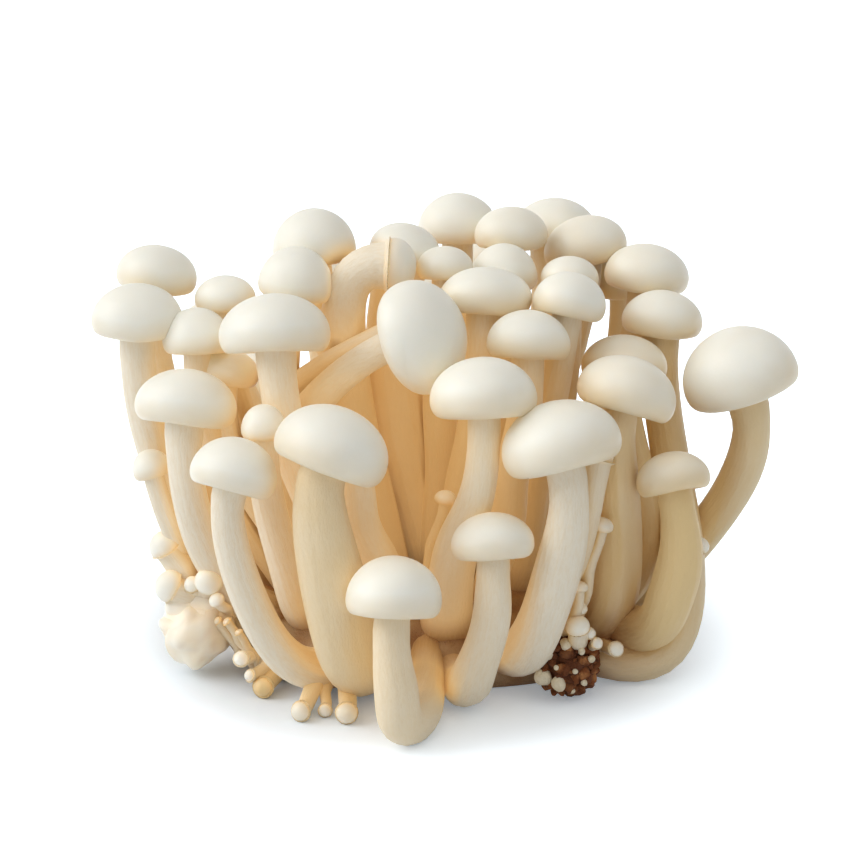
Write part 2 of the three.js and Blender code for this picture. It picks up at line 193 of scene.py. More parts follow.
def check_places(kind, places):
    """Prints which caps' middles lie outside their own nodes' boxes, and by how many millimetres. Only that
    of mushroom_50 does, because its solid is a stem that ends below the cap: the cap is there in the skin
    alone."""
    outside = {}
    for i, m in enumerate(places):
        node = f"{kind}_{i + 1:02d}"
        low, high = (np.array(corner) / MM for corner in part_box(node))
        past = np.max(np.maximum(low - m["cap"], m["cap"] - high))
        if past > 0:
            outside[node] = round(float(past), 1)
    print(kind, len(places), "places, outside their boxes:", outside or "none")


check_places("mushroom", MUSHROOMS)
check_places("bud", BUDS)

# %% [markdown]
# ## The camera, the floor and the light
#
# The bunch stands on a white table, lit by a big soft lamp from the left and another from above. The camera
# looks slightly down along +Y. A flat floor that runs past the horizon is enough for a backdrop. To keep it
# pure white where nothing shades it, the floor's material adds light of its own: none in the bunch's shade
# on the left, a little on the right, where the real table is brighter, and the full amount further out. It
# adds it only for rays that come straight to the eye, so the mushrooms aren't lit by it.

# %% Camera
ELEVATION = np.radians(18)
DISTANCE = 0.45
TARGET = np.array([-2.6, 0, 42.4]) * MM
VIEW_WIDTH = 0.1478  # width of the view at the target
SENSOR = 36  # of the camera, in millimetres
NEAREST = 0.01  # nothing nearer than this is drawn

camera_data = bpy.data.cameras.new("camera")
camera_data.sensor_width = SENSOR
camera_data.lens = SENSOR * DISTANCE / VIEW_WIDTH
camera_data.clip_start = NEAREST
camera = bpy.data.objects.new("camera", camera_data)
camera.location = TARGET + DISTANCE * np.array([0, -np.cos(ELEVATION), np.sin(ELEVATION)])
camera.rotation_euler = (np.pi / 2 - ELEVATION, 0, 0)
bpy.context.scene.collection.objects.link(camera)
bpy.context.scene.camera = camera
bpy.context.scene.view_settings.view_transform = "Standard"
print("camera lens:", round(camera_data.lens, 1), "mm")


# %% Helpers for node trees
def feed(tree, socket, value):
    """Links another socket to this input, or sets a number or a colour on it."""
    if isinstance(value, bpy.types.NodeSocket):
        tree.links.new(value, socket)
    else:
        socket.default_value = value


def add_node(tree, kind, **settings):
    """A new node. Settings with a capital letter feed its inputs, and the others are its properties."""
    node = tree.nodes.new(kind)
    for name, value in settings.items():
        if name[0].isupper():
            feed(tree, node.inputs[name.replace("_", " ")], value)
        else:
            setattr(node, name, value)
    return node


def combine(tree, operation, *values, clamp=False):
    """One Math node on two or three sockets or numbers; returns its result."""
    math = add_node(tree, "ShaderNodeMath", operation=operation, use_clamp=clamp)
    for socket, value in zip(math.inputs, values):
        feed(tree, socket, value)
    return math.outputs[0]


def new_material(name):
    """A material with nothing but an output; returns it, its tree and the input that takes its shader."""
    material = bpy.data.materials.new(name)
    material.use_nodes = True
    tree = material.node_tree
    tree.nodes.clear()
    return material, tree, tree.nodes.new("ShaderNodeOutputMaterial").inputs["Surface"]


# %% Floor
FLOOR_HALF = 3.0
PAPER = (0.86, 0.925, 1, 1)  # a little blue, because the mushrooms throw warm light on it
GLOW = (0.88, 0.95, 1, 1)
SHADED = {"half": (0.047, 0.05), "middle": (-0.003, 0.01)}  # the ellipse that lies in the bunch's shade
WHITE_FROM, WHITE_TO = 0.85, 1.5  # distance from its middle, over its half sides
LEFT_GLOW, RIGHT_GLOW = 0.0, 0.27  # the floor's own light inside the ellipse
LIT_FROM, LIT_TO = -0.03, 0.005  # the x between which it goes from the left's to the right's


def seen_directly(tree):
    """1 for a ray from the camera, off a gloss or through glass, and 0 for one that lights things."""
    ray = add_node(tree, "ShaderNodeLightPath").outputs
    sharp = combine(tree, "MAXIMUM", ray["Is Glossy Ray"], ray["Is Transmission Ray"])
    return combine(tree, "MAXIMUM", ray["Is Camera Ray"], sharp)


floor_mesh = bpy.data.meshes.new("floor")
corners = np.array([[-1, -1, 0], [1, -1, 0], [1, 1, 0], [-1, 1, 0]]) * FLOOR_HALF
floor_mesh.from_pydata(corners.tolist(), [], [(0, 1, 2, 3)])
floor = bpy.data.objects.new("floor", floor_mesh)
bpy.context.scene.collection.objects.link(floor)
floor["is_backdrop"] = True

floor_material, tree, surface = new_material("white_table")
position = add_node(tree, "ShaderNodeTexCoord").outputs["Object"]
across_floor = add_node(tree, "ShaderNodeSeparateXYZ", Vector=position).outputs["X"]
sideways = add_node(tree, "ShaderNodeMapRange", Value=across_floor, From_Min=LIT_FROM, From_Max=LIT_TO,
                    To_Min=LEFT_GLOW, To_Max=RIGHT_GLOW)
ellipse = add_node(tree, "ShaderNodeMapping", vector_type="TEXTURE", Vector=position,
                   Location=(*SHADED["middle"], 0), Scale=(*SHADED["half"], 1))
reach = add_node(tree, "ShaderNodeVectorMath", operation="LENGTH", Vector=ellipse.outputs[0])
whiteness = add_node(tree, "ShaderNodeMapRange", interpolation_type="SMOOTHSTEP",
                     Value=reach.outputs["Value"], From_Min=WHITE_FROM, From_Max=WHITE_TO,
                     To_Min=sideways.outputs[0])
own_light = combine(tree, "MULTIPLY", whiteness.outputs[0], seen_directly(tree))
paper = add_node(tree, "ShaderNodeBsdfDiffuse", Color=PAPER)
glow = add_node(tree, "ShaderNodeEmission", Color=GLOW, Strength=own_light)
both = add_node(tree, "ShaderNodeAddShader")
for socket, shader in zip(both.inputs, (paper, glow)):
    feed(tree, socket, shader.outputs[0])
feed(tree, surface, both.outputs[0])
floor_mesh.materials.append(floor_material)
print("nodes in the floor's material:", len(tree.nodes))

# %% Lamps and sky
SKY_LIGHT = 0.3
LAMPS = {  # the way to the lamp, its strength and how wide it looks, in degrees: wide lamps cast soft shadows
    "key_lamp": {"way": (-1.0, -0.05, 0.6), "strength": 1.62, "wide": 50},
    "top_lamp": {"way": (0.0, -0.35, 1.0), "strength": 0.9, "wide": 80},
}

for name, lamp in LAMPS.items():
    data = bpy.data.lights.new(name, "SUN")
    data.energy = lamp["strength"]
    data.angle = np.radians(lamp["wide"])
    light = bpy.data.objects.new(name, data)
    x, y, z = lamp["way"]
    light.rotation_euler = (0, np.arctan2(np.hypot(x, y), z), np.arctan2(y, x))
    bpy.context.scene.collection.objects.link(light)

world = bpy.data.worlds.new("sky")
world.use_nodes = True
bpy.context.scene.world = world
sky = world.node_tree.nodes["Background"]
sky.inputs["Color"].default_value = (1, 1, 1, 1)
brightness = add_node(world.node_tree, "ShaderNodeMapRange", clamp=False,
                      Value=seen_directly(world.node_tree), To_Min=SKY_LIGHT, To_Max=1.0)
feed(world.node_tree, sky.inputs["Strength"], brightness.outputs[0])
print("lamps:", ", ".join(LAMPS))

# %% [markdown]
# ## Node groups for the finishes
#
# All the flesh in the bunch shares three effects, so each is a node group, built once. The first colours
# flesh, with painted light and shade in the colour: it is pale outside, honey-coloured where stems crowd each
# other, as painted warm bounce light, and brown by the base, partly as soil stain and partly as painted
# shade, which also browns the creases and hollows between stems. The amounts come from values stored on the
# vertices (attributes), which the geometry code below works out. Its second output is a painted glow, an
# emission that stands in for the light that comes through the flesh, amber where stems crowd together.
# `flesh_relief` is the fine skin: soft lumps and pores, as a height for a Bump node. `long_fibres` draws the
# fine lines that run along a stem; it reads a vector that follows the stem round and along, so it has no
# seam.

# %% Node groups
NO_LIGHT = (0, 0, 0, 1)
CLOUDINESS = 0.5  # how far soft clouds push the edges of honey and damp about
FIBRE_EDGES = (0.42, 0.7)  # the noise values between which a fibre fades in


def new_group(name, inputs, outputs):
    """A node group with those sockets; returns it, what its inputs give and what its outputs take."""
    group = bpy.data.node_groups.new(name, "ShaderNodeTree")
    for socket, (kind, value) in inputs.items():
        made = group.interface.new_socket(socket, in_out="INPUT", socket_type="NodeSocket" + kind)
        if value is not None:
            made.default_value = value
    for socket, kind in outputs.items():
        group.interface.new_socket(socket, in_out="OUTPUT", socket_type="NodeSocket" + kind)
    return group, group.nodes.new("NodeGroupInput").outputs, group.nodes.new("NodeGroupOutput").inputs


def mix_colors(tree, share, first, second):
    """The first colour where share is 0 and the second where it is 1; returns the result."""
    mix = add_node(tree, "ShaderNodeMix", data_type="RGBA")
    own_inputs = (mix.inputs[0], mix.inputs[6], mix.inputs[7])  # the others are for numbers and vectors
    for socket, value in zip(own_inputs, (share, first, second)):
        feed(tree, socket, value)
    return mix.outputs[2]


flesh_color_and_painted_light, given, result = new_group(
    "flesh_color_and_painted_light",
    {"Position": ("Vector", None), "Pale": ("Color", None), "Honey": ("Color", None),
     "Brown": ("Color", None), "Ember": ("Color", None), "Inner": ("Float", 0.0), "Foot": ("Float", 0.0),
     "Ripe": ("Float", 0.0), "Lit": ("Float", 0.0), "Cloud Scale": ("Float", 120.0)},
    {"Color": "Color", "Light Through": "Color"},
)
clouds = add_node(flesh_color_and_painted_light, "ShaderNodeTexNoise", Vector=given["Position"], Scale=given["Cloud Scale"],
                  Detail=2.0, Roughness=0.55)
drift = combine(flesh_color_and_painted_light, "MULTIPLY_ADD", clouds.outputs[0], CLOUDINESS, -CLOUDINESS / 2)
# The honey share: painted warm bounce light between stems, random clouds, and each piece's own tone with
# painted shade.
honey = combine(flesh_color_and_painted_light, "ADD", given["Inner"], drift)
honey = combine(flesh_color_and_painted_light, "ADD", honey, given["Ripe"], clamp=True)
pale_to_honey = mix_colors(flesh_color_and_painted_light, honey, given["Pale"], given["Honey"])
# The brown share: soil stain by the base, and painted shade there and in creases and hollows.
brown_share = combine(flesh_color_and_painted_light, "MULTIPLY", drift, given["Foot"])
brown_share = combine(flesh_color_and_painted_light, "ADD", brown_share, given["Foot"], clamp=True)
feed(flesh_color_and_painted_light, result["Color"], mix_colors(flesh_color_and_painted_light, brown_share, pale_to_honey, given["Brown"]))
# The light through the flesh is a painted glow, an emission, kept off the brown.
not_brown = combine(flesh_color_and_painted_light, "SUBTRACT", 1.0, given["Foot"], clamp=True)
lit = combine(flesh_color_and_painted_light, "MULTIPLY", given["Lit"], not_brown)
feed(flesh_color_and_painted_light, result["Light Through"], mix_colors(flesh_color_and_painted_light, lit, NO_LIGHT, given["Ember"]))

flesh_relief, given, result = new_group(
    "flesh_relief",
    {"Position": ("Vector", None), "Lump Size": ("Float", 0.004), "Pore Size": ("Float", 0.0006),
     "Pore Share": ("Float", 0.2)},
    {"Height": "Float"},
)
swells, pores = (
    add_node(flesh_relief, "ShaderNodeTexNoise", Vector=given["Position"], Detail=1.0, Roughness=roughness,
             Scale=combine(flesh_relief, "DIVIDE", 1.0, given[size])).outputs[0]
    for size, roughness in (("Lump Size", 0.5), ("Pore Size", 0.6))
)
fine = combine(flesh_relief, "MULTIPLY", pores, given["Pore Share"])
feed(flesh_relief, result["Height"], combine(flesh_relief, "ADD", swells, fine))

long_fibres, given, result = new_group(
    "long_fibres",
    {"Grain": ("Vector", None), "Fibres Round": ("Float", 9.0), "Stretch": ("Float", 0.5)},
    {"Height": "Float", "Streaks": "Float"},
)
sizes = add_node(long_fibres, "ShaderNodeCombineXYZ", X=given["Fibres Round"], Y=given["Fibres Round"],
                 Z=given["Stretch"])
scaled = add_node(long_fibres, "ShaderNodeVectorMath", operation="MULTIPLY")
feed(long_fibres, scaled.inputs[0], given["Grain"])
feed(long_fibres, scaled.inputs[1], sizes.outputs[0])
threads = add_node(long_fibres, "ShaderNodeTexNoise", Vector=scaled.outputs[0], Scale=1.0, Detail=2.0,
                   Roughness=0.65)
streaks = add_node(long_fibres, "ShaderNodeMapRange", Value=threads.outputs[0], From_Min=FIBRE_EDGES[0],
                   From_Max=FIBRE_EDGES[1])
feed(long_fibres, result["Height"], threads.outputs[0])
feed(long_fibres, result["Streaks"], streaks.outputs[0])
print("node groups:", ", ".join(group.name for group in bpy.data.node_groups))

# %% [markdown]
# ## The finishes
#
# Mushroom flesh is white, but light goes into it and comes out warm, as in a candle. On the caps the
# Principled shader's subsurface scattering does that; its radius is longest for red, so thin rims glow a warm
# cream. All the flesh also has painted warm light in its colour and a painted glow, an emission, where stems
# crowd; the stems have only these, without subsurface scattering, which renders faster. Caps are smoother and
# waxier than stems. Everything else, the gills, the felted base and the damp growing medium, uses the same
# shader with its own numbers.

# %% Finishes
PALE_CAP = (0.93, 0.9, 0.79, 1)
PALE_STEM = (0.9, 0.8, 0.635, 1)
PALE_GILLS = (0.88, 0.8, 0.62, 1)
PALE_FELT = (0.86, 0.77, 0.58, 1)
PALE_BRAN = (0.56, 0.24, 0.08, 1)
# HONEY is a warmer tone of the flesh itself, and also the colour of painted warm bounce light and painted
# shade.
HONEY = (0.8, 0.58, 0.28, 1)
HONEY_BRAN = (0.24, 0.07, 0.015, 1)
# BROWN and BROWN_FELT: soil stain by the base, and painted shade there and in creases and hollows.
BROWN = (0.42, 0.2, 0.07, 1)
BROWN_FELT = (0.3, 0.13, 0.045, 1)
BROWN_BRAN = (0.1, 0.026, 0.006, 1)
# EMBER is the colour of a painted glow: flesh emits it where stems crowd, standing in for light that comes
# through.
EMBER = (0.15, 0.103, 0.045, 1)
GLOW_RADIUS = (1.0, 0.55, 0.25)  # how far red, green and blue travel in the flesh, over the next value
GLOW_DEPTH = 0.0025
GLOSS = 0.4
WAX_ROUGHNESS = 0.35  # of the thin coat on a cap


def read_attribute(tree, name, output="Fac"):
    """The socket of an attribute that the geometry stores on its vertices."""
    return add_node(tree, "ShaderNodeAttribute", attribute_name=name).outputs[output]


def flesh_material(name, pale, honey=HONEY, brown=BROWN, ember=EMBER, clouds=120.0, lump=0.004, pore=0.0006,
                   pore_share=0.2, bump=0.25, distance=0.0004, roughness=0.5, glow=0.0, wax=0.0, fibres=0.0):
    """Mushroom flesh: the first node group gives its colour, with painted light and shade in it, and its
    painted glow; flesh_relief its bumps, and long_fibres adds to both.
    """
    material, tree, surface = new_material(name)
    position = add_node(tree, "ShaderNodeTexCoord").outputs["Object"]
    amounts = {key.title(): read_attribute(tree, key) for key in ("inner", "foot", "ripe", "lit")}
    tone = add_node(tree, "ShaderNodeGroup", node_tree=flesh_color_and_painted_light, Position=position, Pale=pale, Honey=honey,
                    Brown=brown, Ember=ember, Cloud_Scale=clouds, **amounts)
    relief = add_node(tree, "ShaderNodeGroup", node_tree=flesh_relief, Position=position, Lump_Size=lump,
                      Pore_Size=pore, Pore_Share=pore_share)
    color, height = tone.outputs["Color"], relief.outputs["Height"]
    if fibres:
        threads = add_node(tree, "ShaderNodeGroup", node_tree=long_fibres,
                           Grain=read_attribute(tree, "grain", "Vector")).outputs
        height = combine(tree, "ADD", height, threads["Height"])
        color = mix_colors(tree, combine(tree, "MULTIPLY", threads["Streaks"], fibres), color, honey)
    bumps = add_node(tree, "ShaderNodeBump", Strength=bump, Distance=distance, Height=height)
    # Its emission is a painted glow that stands for light coming through the flesh.
    shader = add_node(tree, "ShaderNodeBsdfPrincipled", subsurface_method="BURLEY", Base_Color=color,
                      Roughness=roughness, Normal=bumps.outputs[0], Specular_IOR_Level=GLOSS,
                      Subsurface_Weight=glow, Subsurface_Radius=GLOW_RADIUS, Subsurface_Scale=GLOW_DEPTH,
                      Coat_Weight=wax, Coat_Roughness=WAX_ROUGHNESS, Emission_Strength=1.0,
                      Emission_Color=tone.outputs["Light Through"])
    feed(tree, surface, shader.outputs[0])
    return material


cap_skin = flesh_material("cap_skin", PALE_CAP, clouds=90, lump=0.005, bump=0.2, roughness=0.42, glow=0.35,
                          wax=0.12)
gill_flesh = flesh_material("gill_flesh", PALE_GILLS, lump=0.0015, roughness=0.6)
stem_flesh = flesh_material("stem_flesh", PALE_STEM, clouds=70, bump=0.35, fibres=0.22)
mycelium = flesh_material("mycelium", PALE_FELT, brown=BROWN_FELT, ember=NO_LIGHT, clouds=160, lump=0.0016,
                          pore=0.0003, pore_share=0.6, bump=0.7, distance=0.0006, roughness=0.75)
bran = flesh_material("growing_medium", PALE_BRAN, honey=HONEY_BRAN, brown=BROWN_BRAN, ember=NO_LIGHT,
                      clouds=300, lump=0.0008, pore=0.0002, pore_share=0.6, bump=0.8, roughness=0.85)
finishes = (cap_skin, gill_flesh, stem_flesh, mycelium, bran)
print("finishes:", ", ".join(finish.name for finish in finishes))

# %% [markdown]
# ## From grids to meshes
#
# Every surface here is a sleeve: rows of points round a line, closed by one point at each end. That covers a
# whole mushroom, from the tip of its foot to the top of its cap, and also a pin, a grain and the base. So
# one helper writes any sleeve, or many at once, into a mesh with whole arrays.

# %% Sleeves
def sleeve_corners(rows, columns):
    """Corner numbers of a sleeve's triangles and quads. Its vertices are the first pole, rows, last pole."""
    ring = np.arange(columns)
    after = np.roll(ring, -1)
    last = 1 + rows * columns
    low = 1 + np.arange(rows - 1)[:, None] * columns
    high = low + columns
    quads = np.stack([low + ring, low + after, high + after, high + ring], -1).reshape(-1, 4)
    start = np.stack([np.zeros_like(ring), 1 + after, 1 + ring], -1)
    end = np.stack([np.full_like(ring, last), last - columns + ring, last - columns + after], -1)
    return start, quads, end


def sleeve_points(rings, first, last):
    """Vertices of a sleeve, from its rings (rows, columns, 3) and its two poles."""
    return np.concatenate([[first], rings.reshape(-1, 3), [last]])


def write_mesh(name, points, faces, values, materials, slots=None):
    """Puts vertices, a list of face arrays, vertex values and one material number per face into a new
    object. Nothing reaches below the table: z is at least 0."""
    mesh = bpy.data.meshes.new(name)
    mesh.vertices.add(len(points))
    resting = np.column_stack([points[:, :2], np.maximum(points[:, 2], 0)])
    mesh.vertices.foreach_set("co", resting.astype(np.float32).ravel())
    sizes = np.concatenate([np.full(len(f), f.shape[1]) for f in faces])
    mesh.loops.add(int(sizes.sum()))
    mesh.loops.foreach_set("vertex_index", np.concatenate([f.ravel() for f in faces]).astype(np.int32))
    mesh.polygons.add(len(sizes))
    mesh.polygons.foreach_set("loop_start", (np.cumsum(sizes) - sizes).astype(np.int32))
    mesh.update(calc_edges=True)
    mesh.shade_smooth()
    for material in materials:
        mesh.materials.append(material)
    if slots is not None:
        mesh.polygons.foreach_set("material_index", slots.astype(np.int32))
    for label, value in values.items():
        kind, key = ("FLOAT", "value") if value.ndim == 1 else ("FLOAT_VECTOR", "vector")
        mesh.attributes.new(label, kind, "POINT").data.foreach_set(key, value.astype(np.float32).ravel())
    piece = bpy.data.objects.new(name, mesh)
    bpy.context.scene.collection.objects.link(piece)
    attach(piece, "root")
    return piece


# %% [markdown]
# ## Where painted light and shade warm the flesh
#
# Between the stems light has bounced from flesh to flesh and is the colour of honey; here that light is
# painted into the colour. So each point gets a value for how much of what it faces is filled by other stems.
# Points strung along every stem stand for it, and the sum over them is the same one that gives the light of a
# row of lamps. The wide hollow in the middle of the bunch gets painted warm light too, and a formula for the
# fan that the stems make adds that. Near the base the flesh is damp and brown, the brown partly soil stain
# and partly painted shade; painted shade also browns two hollows and the creases where stems touch.

# %% Warmth of a point
# These numbers paint light and shade into the flesh's colour: honey for warm bounce light among stems, and
# brown for shade in creases and hollows.
FADE = 14  # millimetres after which a neighbour's colour has faded to a third
# the stems' fan: its half sides and the y of its middle, each at z 0 and at its top, and how high that is
FAN = {"wide": (36, 60), "deep": (20, 49), "middle": (0, 9), "top": 60}
FAN_EDGE, FAN_TOP = (0.3, 1), (44, 64)  # its warmth fades between these shares of its half sides, and heights
HONEY_AT = (0, 0.6)  # crowding that starts and ends the turn to honey
# lit is a painted glow that stands for light through the flesh; DARK_AT and SHADY set where it fades.
DARK_AT = (0.4, 1)  # and to where no light comes through any more
# Painted shade: brown in the creases where stems crowd.
CREASE_AT, CREASE_SHADE = (0.45, 0.95), 0.6  # and to brown, and how brown
SHADY, SHADY_LOSS = (6, 30), 0.9  # the x from where to where the light through the flesh fades, by that share
# The brown near the base is partly soil stain and partly painted shade.
AROUND_PAD = 4  # millimetres that the brown of the base spreads past it
FOOT_UP, FOOT_OUT, FOOT_BROWN = (-1, 7), (0.92, 1.15), 0.75  # it fades upwards and outwards, from that much
# Painted shade: brown in two hollows between stems, with some soil stain in the front one.
SHADED_HOLLOWS = [{"at": (31, -13, 9), "r": 6, "much": 0.9}, {"at": (1, -15, 4), "r": 4, "much": 0.6}]  # brown hollows


def smooth(x, low, high):
    """0 below low, 1 above high and a smooth 3x^2 - 2x^3 between."""
    t = np.clip((x - low) / (high - low), 0, 1)
    return t * t * (3 - 2 * t)


def crowding(points, normals, others):
    """The sum of cos(angle) * 2 * radius * step / (pi * (d^2 + radius^2)) * exp(-d / FADE) over the other
    stems' points, in millimetres: 0 facing open air and about 1 deep among stems."""
    p, normals, at = (points / MM).astype(np.float32), normals.astype(np.float32), others["at"]
    square = np.maximum((p * p).sum(1)[:, None] + (at * at).sum(1) - 2 * p @ at.T, 0.01)
    away = np.sqrt(square)
    facing = np.maximum(normals @ at.T - (normals * p).sum(1)[:, None], 0) / away
    area = 2 * others["radius"] * others["step"]
    return (facing * area / (np.pi * (square + others["radius"] ** 2)) * np.exp(-away / FADE)).sum(1)


def warmth(points, crowded, ripe=0.0):
    """Vertex values. inner: painted warm bounce light, 1 - (1 - crowding) * (1 - fan), where fan is 1 in the
    core of the stems' fan and 0 at its skin, by the ellipse at that height. lit: a painted glow that stands
    for the light that comes through, for twice inner, but not in the creases where stems touch, and little on
    the right. foot: brown at the base, partly soil stain and partly painted shade, plus painted shade in two
    hollows and a little in creases. The last value is how much more honey a piece has: its own tone, plus any
    painted shade passed in."""
    x, y, z = (points / MM).T
    height = np.clip(z / FAN["top"], 0, 1)
    wide, deep, middle = (a + (b - a) * height for a, b in (FAN["wide"], FAN["deep"], FAN["middle"]))
    reach = np.hypot(x / wide, (y - middle) / deep)
    fan = (1 - smooth(reach, *FAN_EDGE)) * (1 - smooth(z, *FAN_TOP))
    crowded = np.broadcast_to(crowded, len(points))
    inner = 1 - (1 - fan) * (1 - smooth(crowded, *HONEY_AT))
    lit = np.clip(2 * inner, 0, 1) * (1 - smooth(crowded, *DARK_AT)) * (1 - SHADY_LOSS * smooth(x, *SHADY))
    from_middle = np.hypot(x / (PAD["wide"] + AROUND_PAD), y / (PAD["deep"] + AROUND_PAD))
    over_pad = z - PAD["tall"] * np.sqrt(np.clip(1 - from_middle**2, 0, 1))
    foot = FOOT_BROWN * (1 - smooth(over_pad, *FOOT_UP)) * (1 - smooth(from_middle, *FOOT_OUT))
    for spot in SHADED_HOLLOWS:
        away = np.linalg.norm(points / MM - spot["at"], axis=1)
        foot = foot + spot["much"] * np.exp(-(away / spot["r"]) ** 2)
    foot = np.clip(foot + CREASE_SHADE * smooth(crowded, *CREASE_AT), 0, 1)
    return {"inner": inner, "lit": lit, "foot": foot, "ripe": np.broadcast_to(ripe, len(points))}


# %% [markdown]
# ## A mushroom's skin
#
# A real mushroom is one piece of flesh, so its skin is one surface. Its profile is drawn first, straight up:
# stem, the flare into the gills, the gills, the rolled lip and the dome. Then each row is carried to its
# place on the stem's curved route. Folding every second column up and down makes real gills. Slow waves
# round the stem and the rim take away the lathe-turned look.

# %% A stem's route
def unit(v):
    """Vectors of length 1 in the same directions."""
    return v / np.linalg.norm(v, axis=-1, keepdims=True)


def cap_axis(lean):
    """Up, tipped to +X and then to +Y: (sin right, cos right * sin back, cos right * cos back)."""
    right, back = np.radians(lean)
    return np.array([np.sin(right), np.cos(right) * np.sin(back), np.cos(right) * np.cos(back)])


def route_handles(m):
    """The stem's Bezier curve, in metres: foot, foot + out, cap - axis * in * span and cap."""
    cap, foot = np.array(m["cap"], float), np.array(m["foot"], float)
    span = np.linalg.norm(cap - foot)
    splayed = SETTING_OFF * span * unit(np.array([foot[0] / PAD["wide"], foot[1] / PAD["deep"], RISING]))
    inward = cap_axis(m["lean"]) * m.get("in", COMING_IN) * span
    return np.array([foot, foot + np.array(m.get("out", splayed)), cap - inward, cap]) * MM


def along_route(handles, t):
    """Places and unit tangents at shares t: the cubic Bezier sum and its derivative."""
    s = 1 - t
    place = np.stack([s**3, 3 * t * s * s, 3 * t * t * s, t**3], -1) @ handles
    heading = np.stack([s * s, 2 * t * s, t * t], -1) @ np.diff(handles, axis=0)
    return place, unit(heading)


def route_length(handles):
    """The length of the handles' zigzag, a little more than the stem's."""
    return np.linalg.norm(np.diff(handles, axis=0), axis=1).sum()


def route_frame(handles, t):
    """Place, side, across and along at shares t. side is the normal of the plane that the stem bends in,
    squared up to the tangent, and across completes a right-handed set."""
    place, along = along_route(handles, t)
    _, ends = along_route(handles, np.array([0.0, 1.0]))
    hinge = unit(np.cross(ends[0], ends[1]))
    side = unit(hinge - along * (along @ hinge)[:, None])
    return place, side, np.cross(along, side), along


# %% A mushroom's profile
# rows of each part of the skin, for mushrooms, buds and pins
ROWS = {"stem": 26, "gill": 8, "lip": 9, "dome": 13}
FEW_ROWS = {"stem": 14, "gill": 5, "lip": 6, "dome": 8}
FEWEST_ROWS = {"stem": 6, "gill": 3, "lip": 4, "dome": 5}
NECK_SWELL, SWELLS_FROM = 0.12, 0.88  # how much a stem widens under its cap, and from where on its length
FLARE_LIFT = np.array([0.07, 0.125])  # heights of two rows that open into the gills, over the cap's radius
FLARE_WIDTH = np.array([1.18, 1.35])  # and their radii, over the neck's
GILL_START = 1.45  # where the gills start, over the neck's radius
GILL_EDGE = 0.66  # where they end, over the cap's radius
GILL_TOP, GILL_DROP, GILL_ARCH = 0.15, 0.065, 1.8  # their height, how much lower they end, and by what power
LIP_WIDE = 0.2  # half width of the rolled lip
LIP_FROM, APEX = -130, 85  # degrees at which the lip starts and the dome ends


def skin_profile(m, rows):
    """The profile from foot to apex: share of the route, lift past it along the cap's axis and radius, in
    metres. Stem: radius foot(1-t)^2 + 2 belly t(1-t) + neck t^2, flaring at the top. Gills: a shallow arch.
    Lip: a quarter and a half of an ellipse. Dome: a quarter ellipse. zone says which each row is: 0, 1, 2 or
    3."""
    r = m["r"] * MM
    foot, belly, neck = np.array(m.get("stem", STEM * m["r"])) * MM * m.get("stout", 1)
    t = np.linspace(0, 1, rows["stem"])
    stem = foot * (1 - t) ** 2 + 2 * belly * t * (1 - t) + neck * t * t
    stem = stem * (1 + NECK_SWELL * smooth(t, SWELLS_FROM, 1))
    g = np.linspace(0, 1, rows["gill"] + 1)[:-1]
    gill = GILL_START * neck + (GILL_EDGE * r - GILL_START * neck) * g
    gill_lift = r * (GILL_TOP - GILL_DROP * g**GILL_ARCH)
    a = np.radians(np.linspace(LIP_FROM, 0, rows["lip"]))
    lip, lip_lift = r * (1 - LIP_WIDE + LIP_WIDE * np.cos(a)), r * (SHOULDER + SHOULDER * np.sin(a))
    b = np.radians(np.linspace(0, APEX, rows["dome"] + 1)[1:])
    dome, dome_lift = r * np.cos(b), r * (SHOULDER + (m.get("dome", DOME) - SHOULDER) * np.sin(b))
    radius = np.concatenate([stem, FLARE_WIDTH * neck, gill, lip, dome])
    lift = np.concatenate([0 * t, FLARE_LIFT * r, gill_lift, lip_lift, dome_lift])
    share = np.concatenate([t, np.ones(len(radius) - len(t))])
    zone = np.repeat([0, 1, 2, 3], [len(t) + 2, rows["gill"], rows["lip"], rows["dome"]])
    return share, lift, radius, zone


# %% A mushroom's skin
ANY_PHASE = (0, 6.3)  # radians
BULGE, BULGE_COUNT = 0.03, (1, 2.4)  # size and number of the bulges along a stem
STEM_WAVES = (((2, 3), 0.035, 2), ((7, 11, 17), 0.007, 0.6))  # waves round it: counts, size and twist
RIM_WAVES = (((2, 3), 0.018), ((5,), 0.006))  # waves round the rim, in and out
SAG_WAVES = (((1, 2, 3), 0.02), ((5,), 0.006))  # and up and down
STEADY_END = 0.15  # share of the stem, under the cap, in which its waves die away
GILL_DEPTH, GILL_SKEW = 0.03, 0.6  # how deep the gills fold, and how much more of the fold lies near the stem
WANDER, WANDER_COUNT = 0.5 * MM, (1, 2)  # a slow sideways sway of the stem
FOOT_ROUND = 0.3  # how far the foot's pole sticks out, over its radius
RIPE_SPREAD = 0.1  # how much more or less honey one mushroom has than another


def turns(columns):
    """The angles of a sleeve's columns, evenly round it."""
    return np.arange(columns) * 2 * np.pi / columns


def waves(rng, turn, counts, size):
    """A sum of sine waves round the turn, one for each count, of random phases and sizes."""
    phases = rng.uniform(0, 2 * np.pi, len(counts))
    sizes = rng.uniform(0.3, 1, len(counts)) * size
    return sum(s * np.sin(n * turn + p) for n, s, p in zip(counts, sizes, phases))


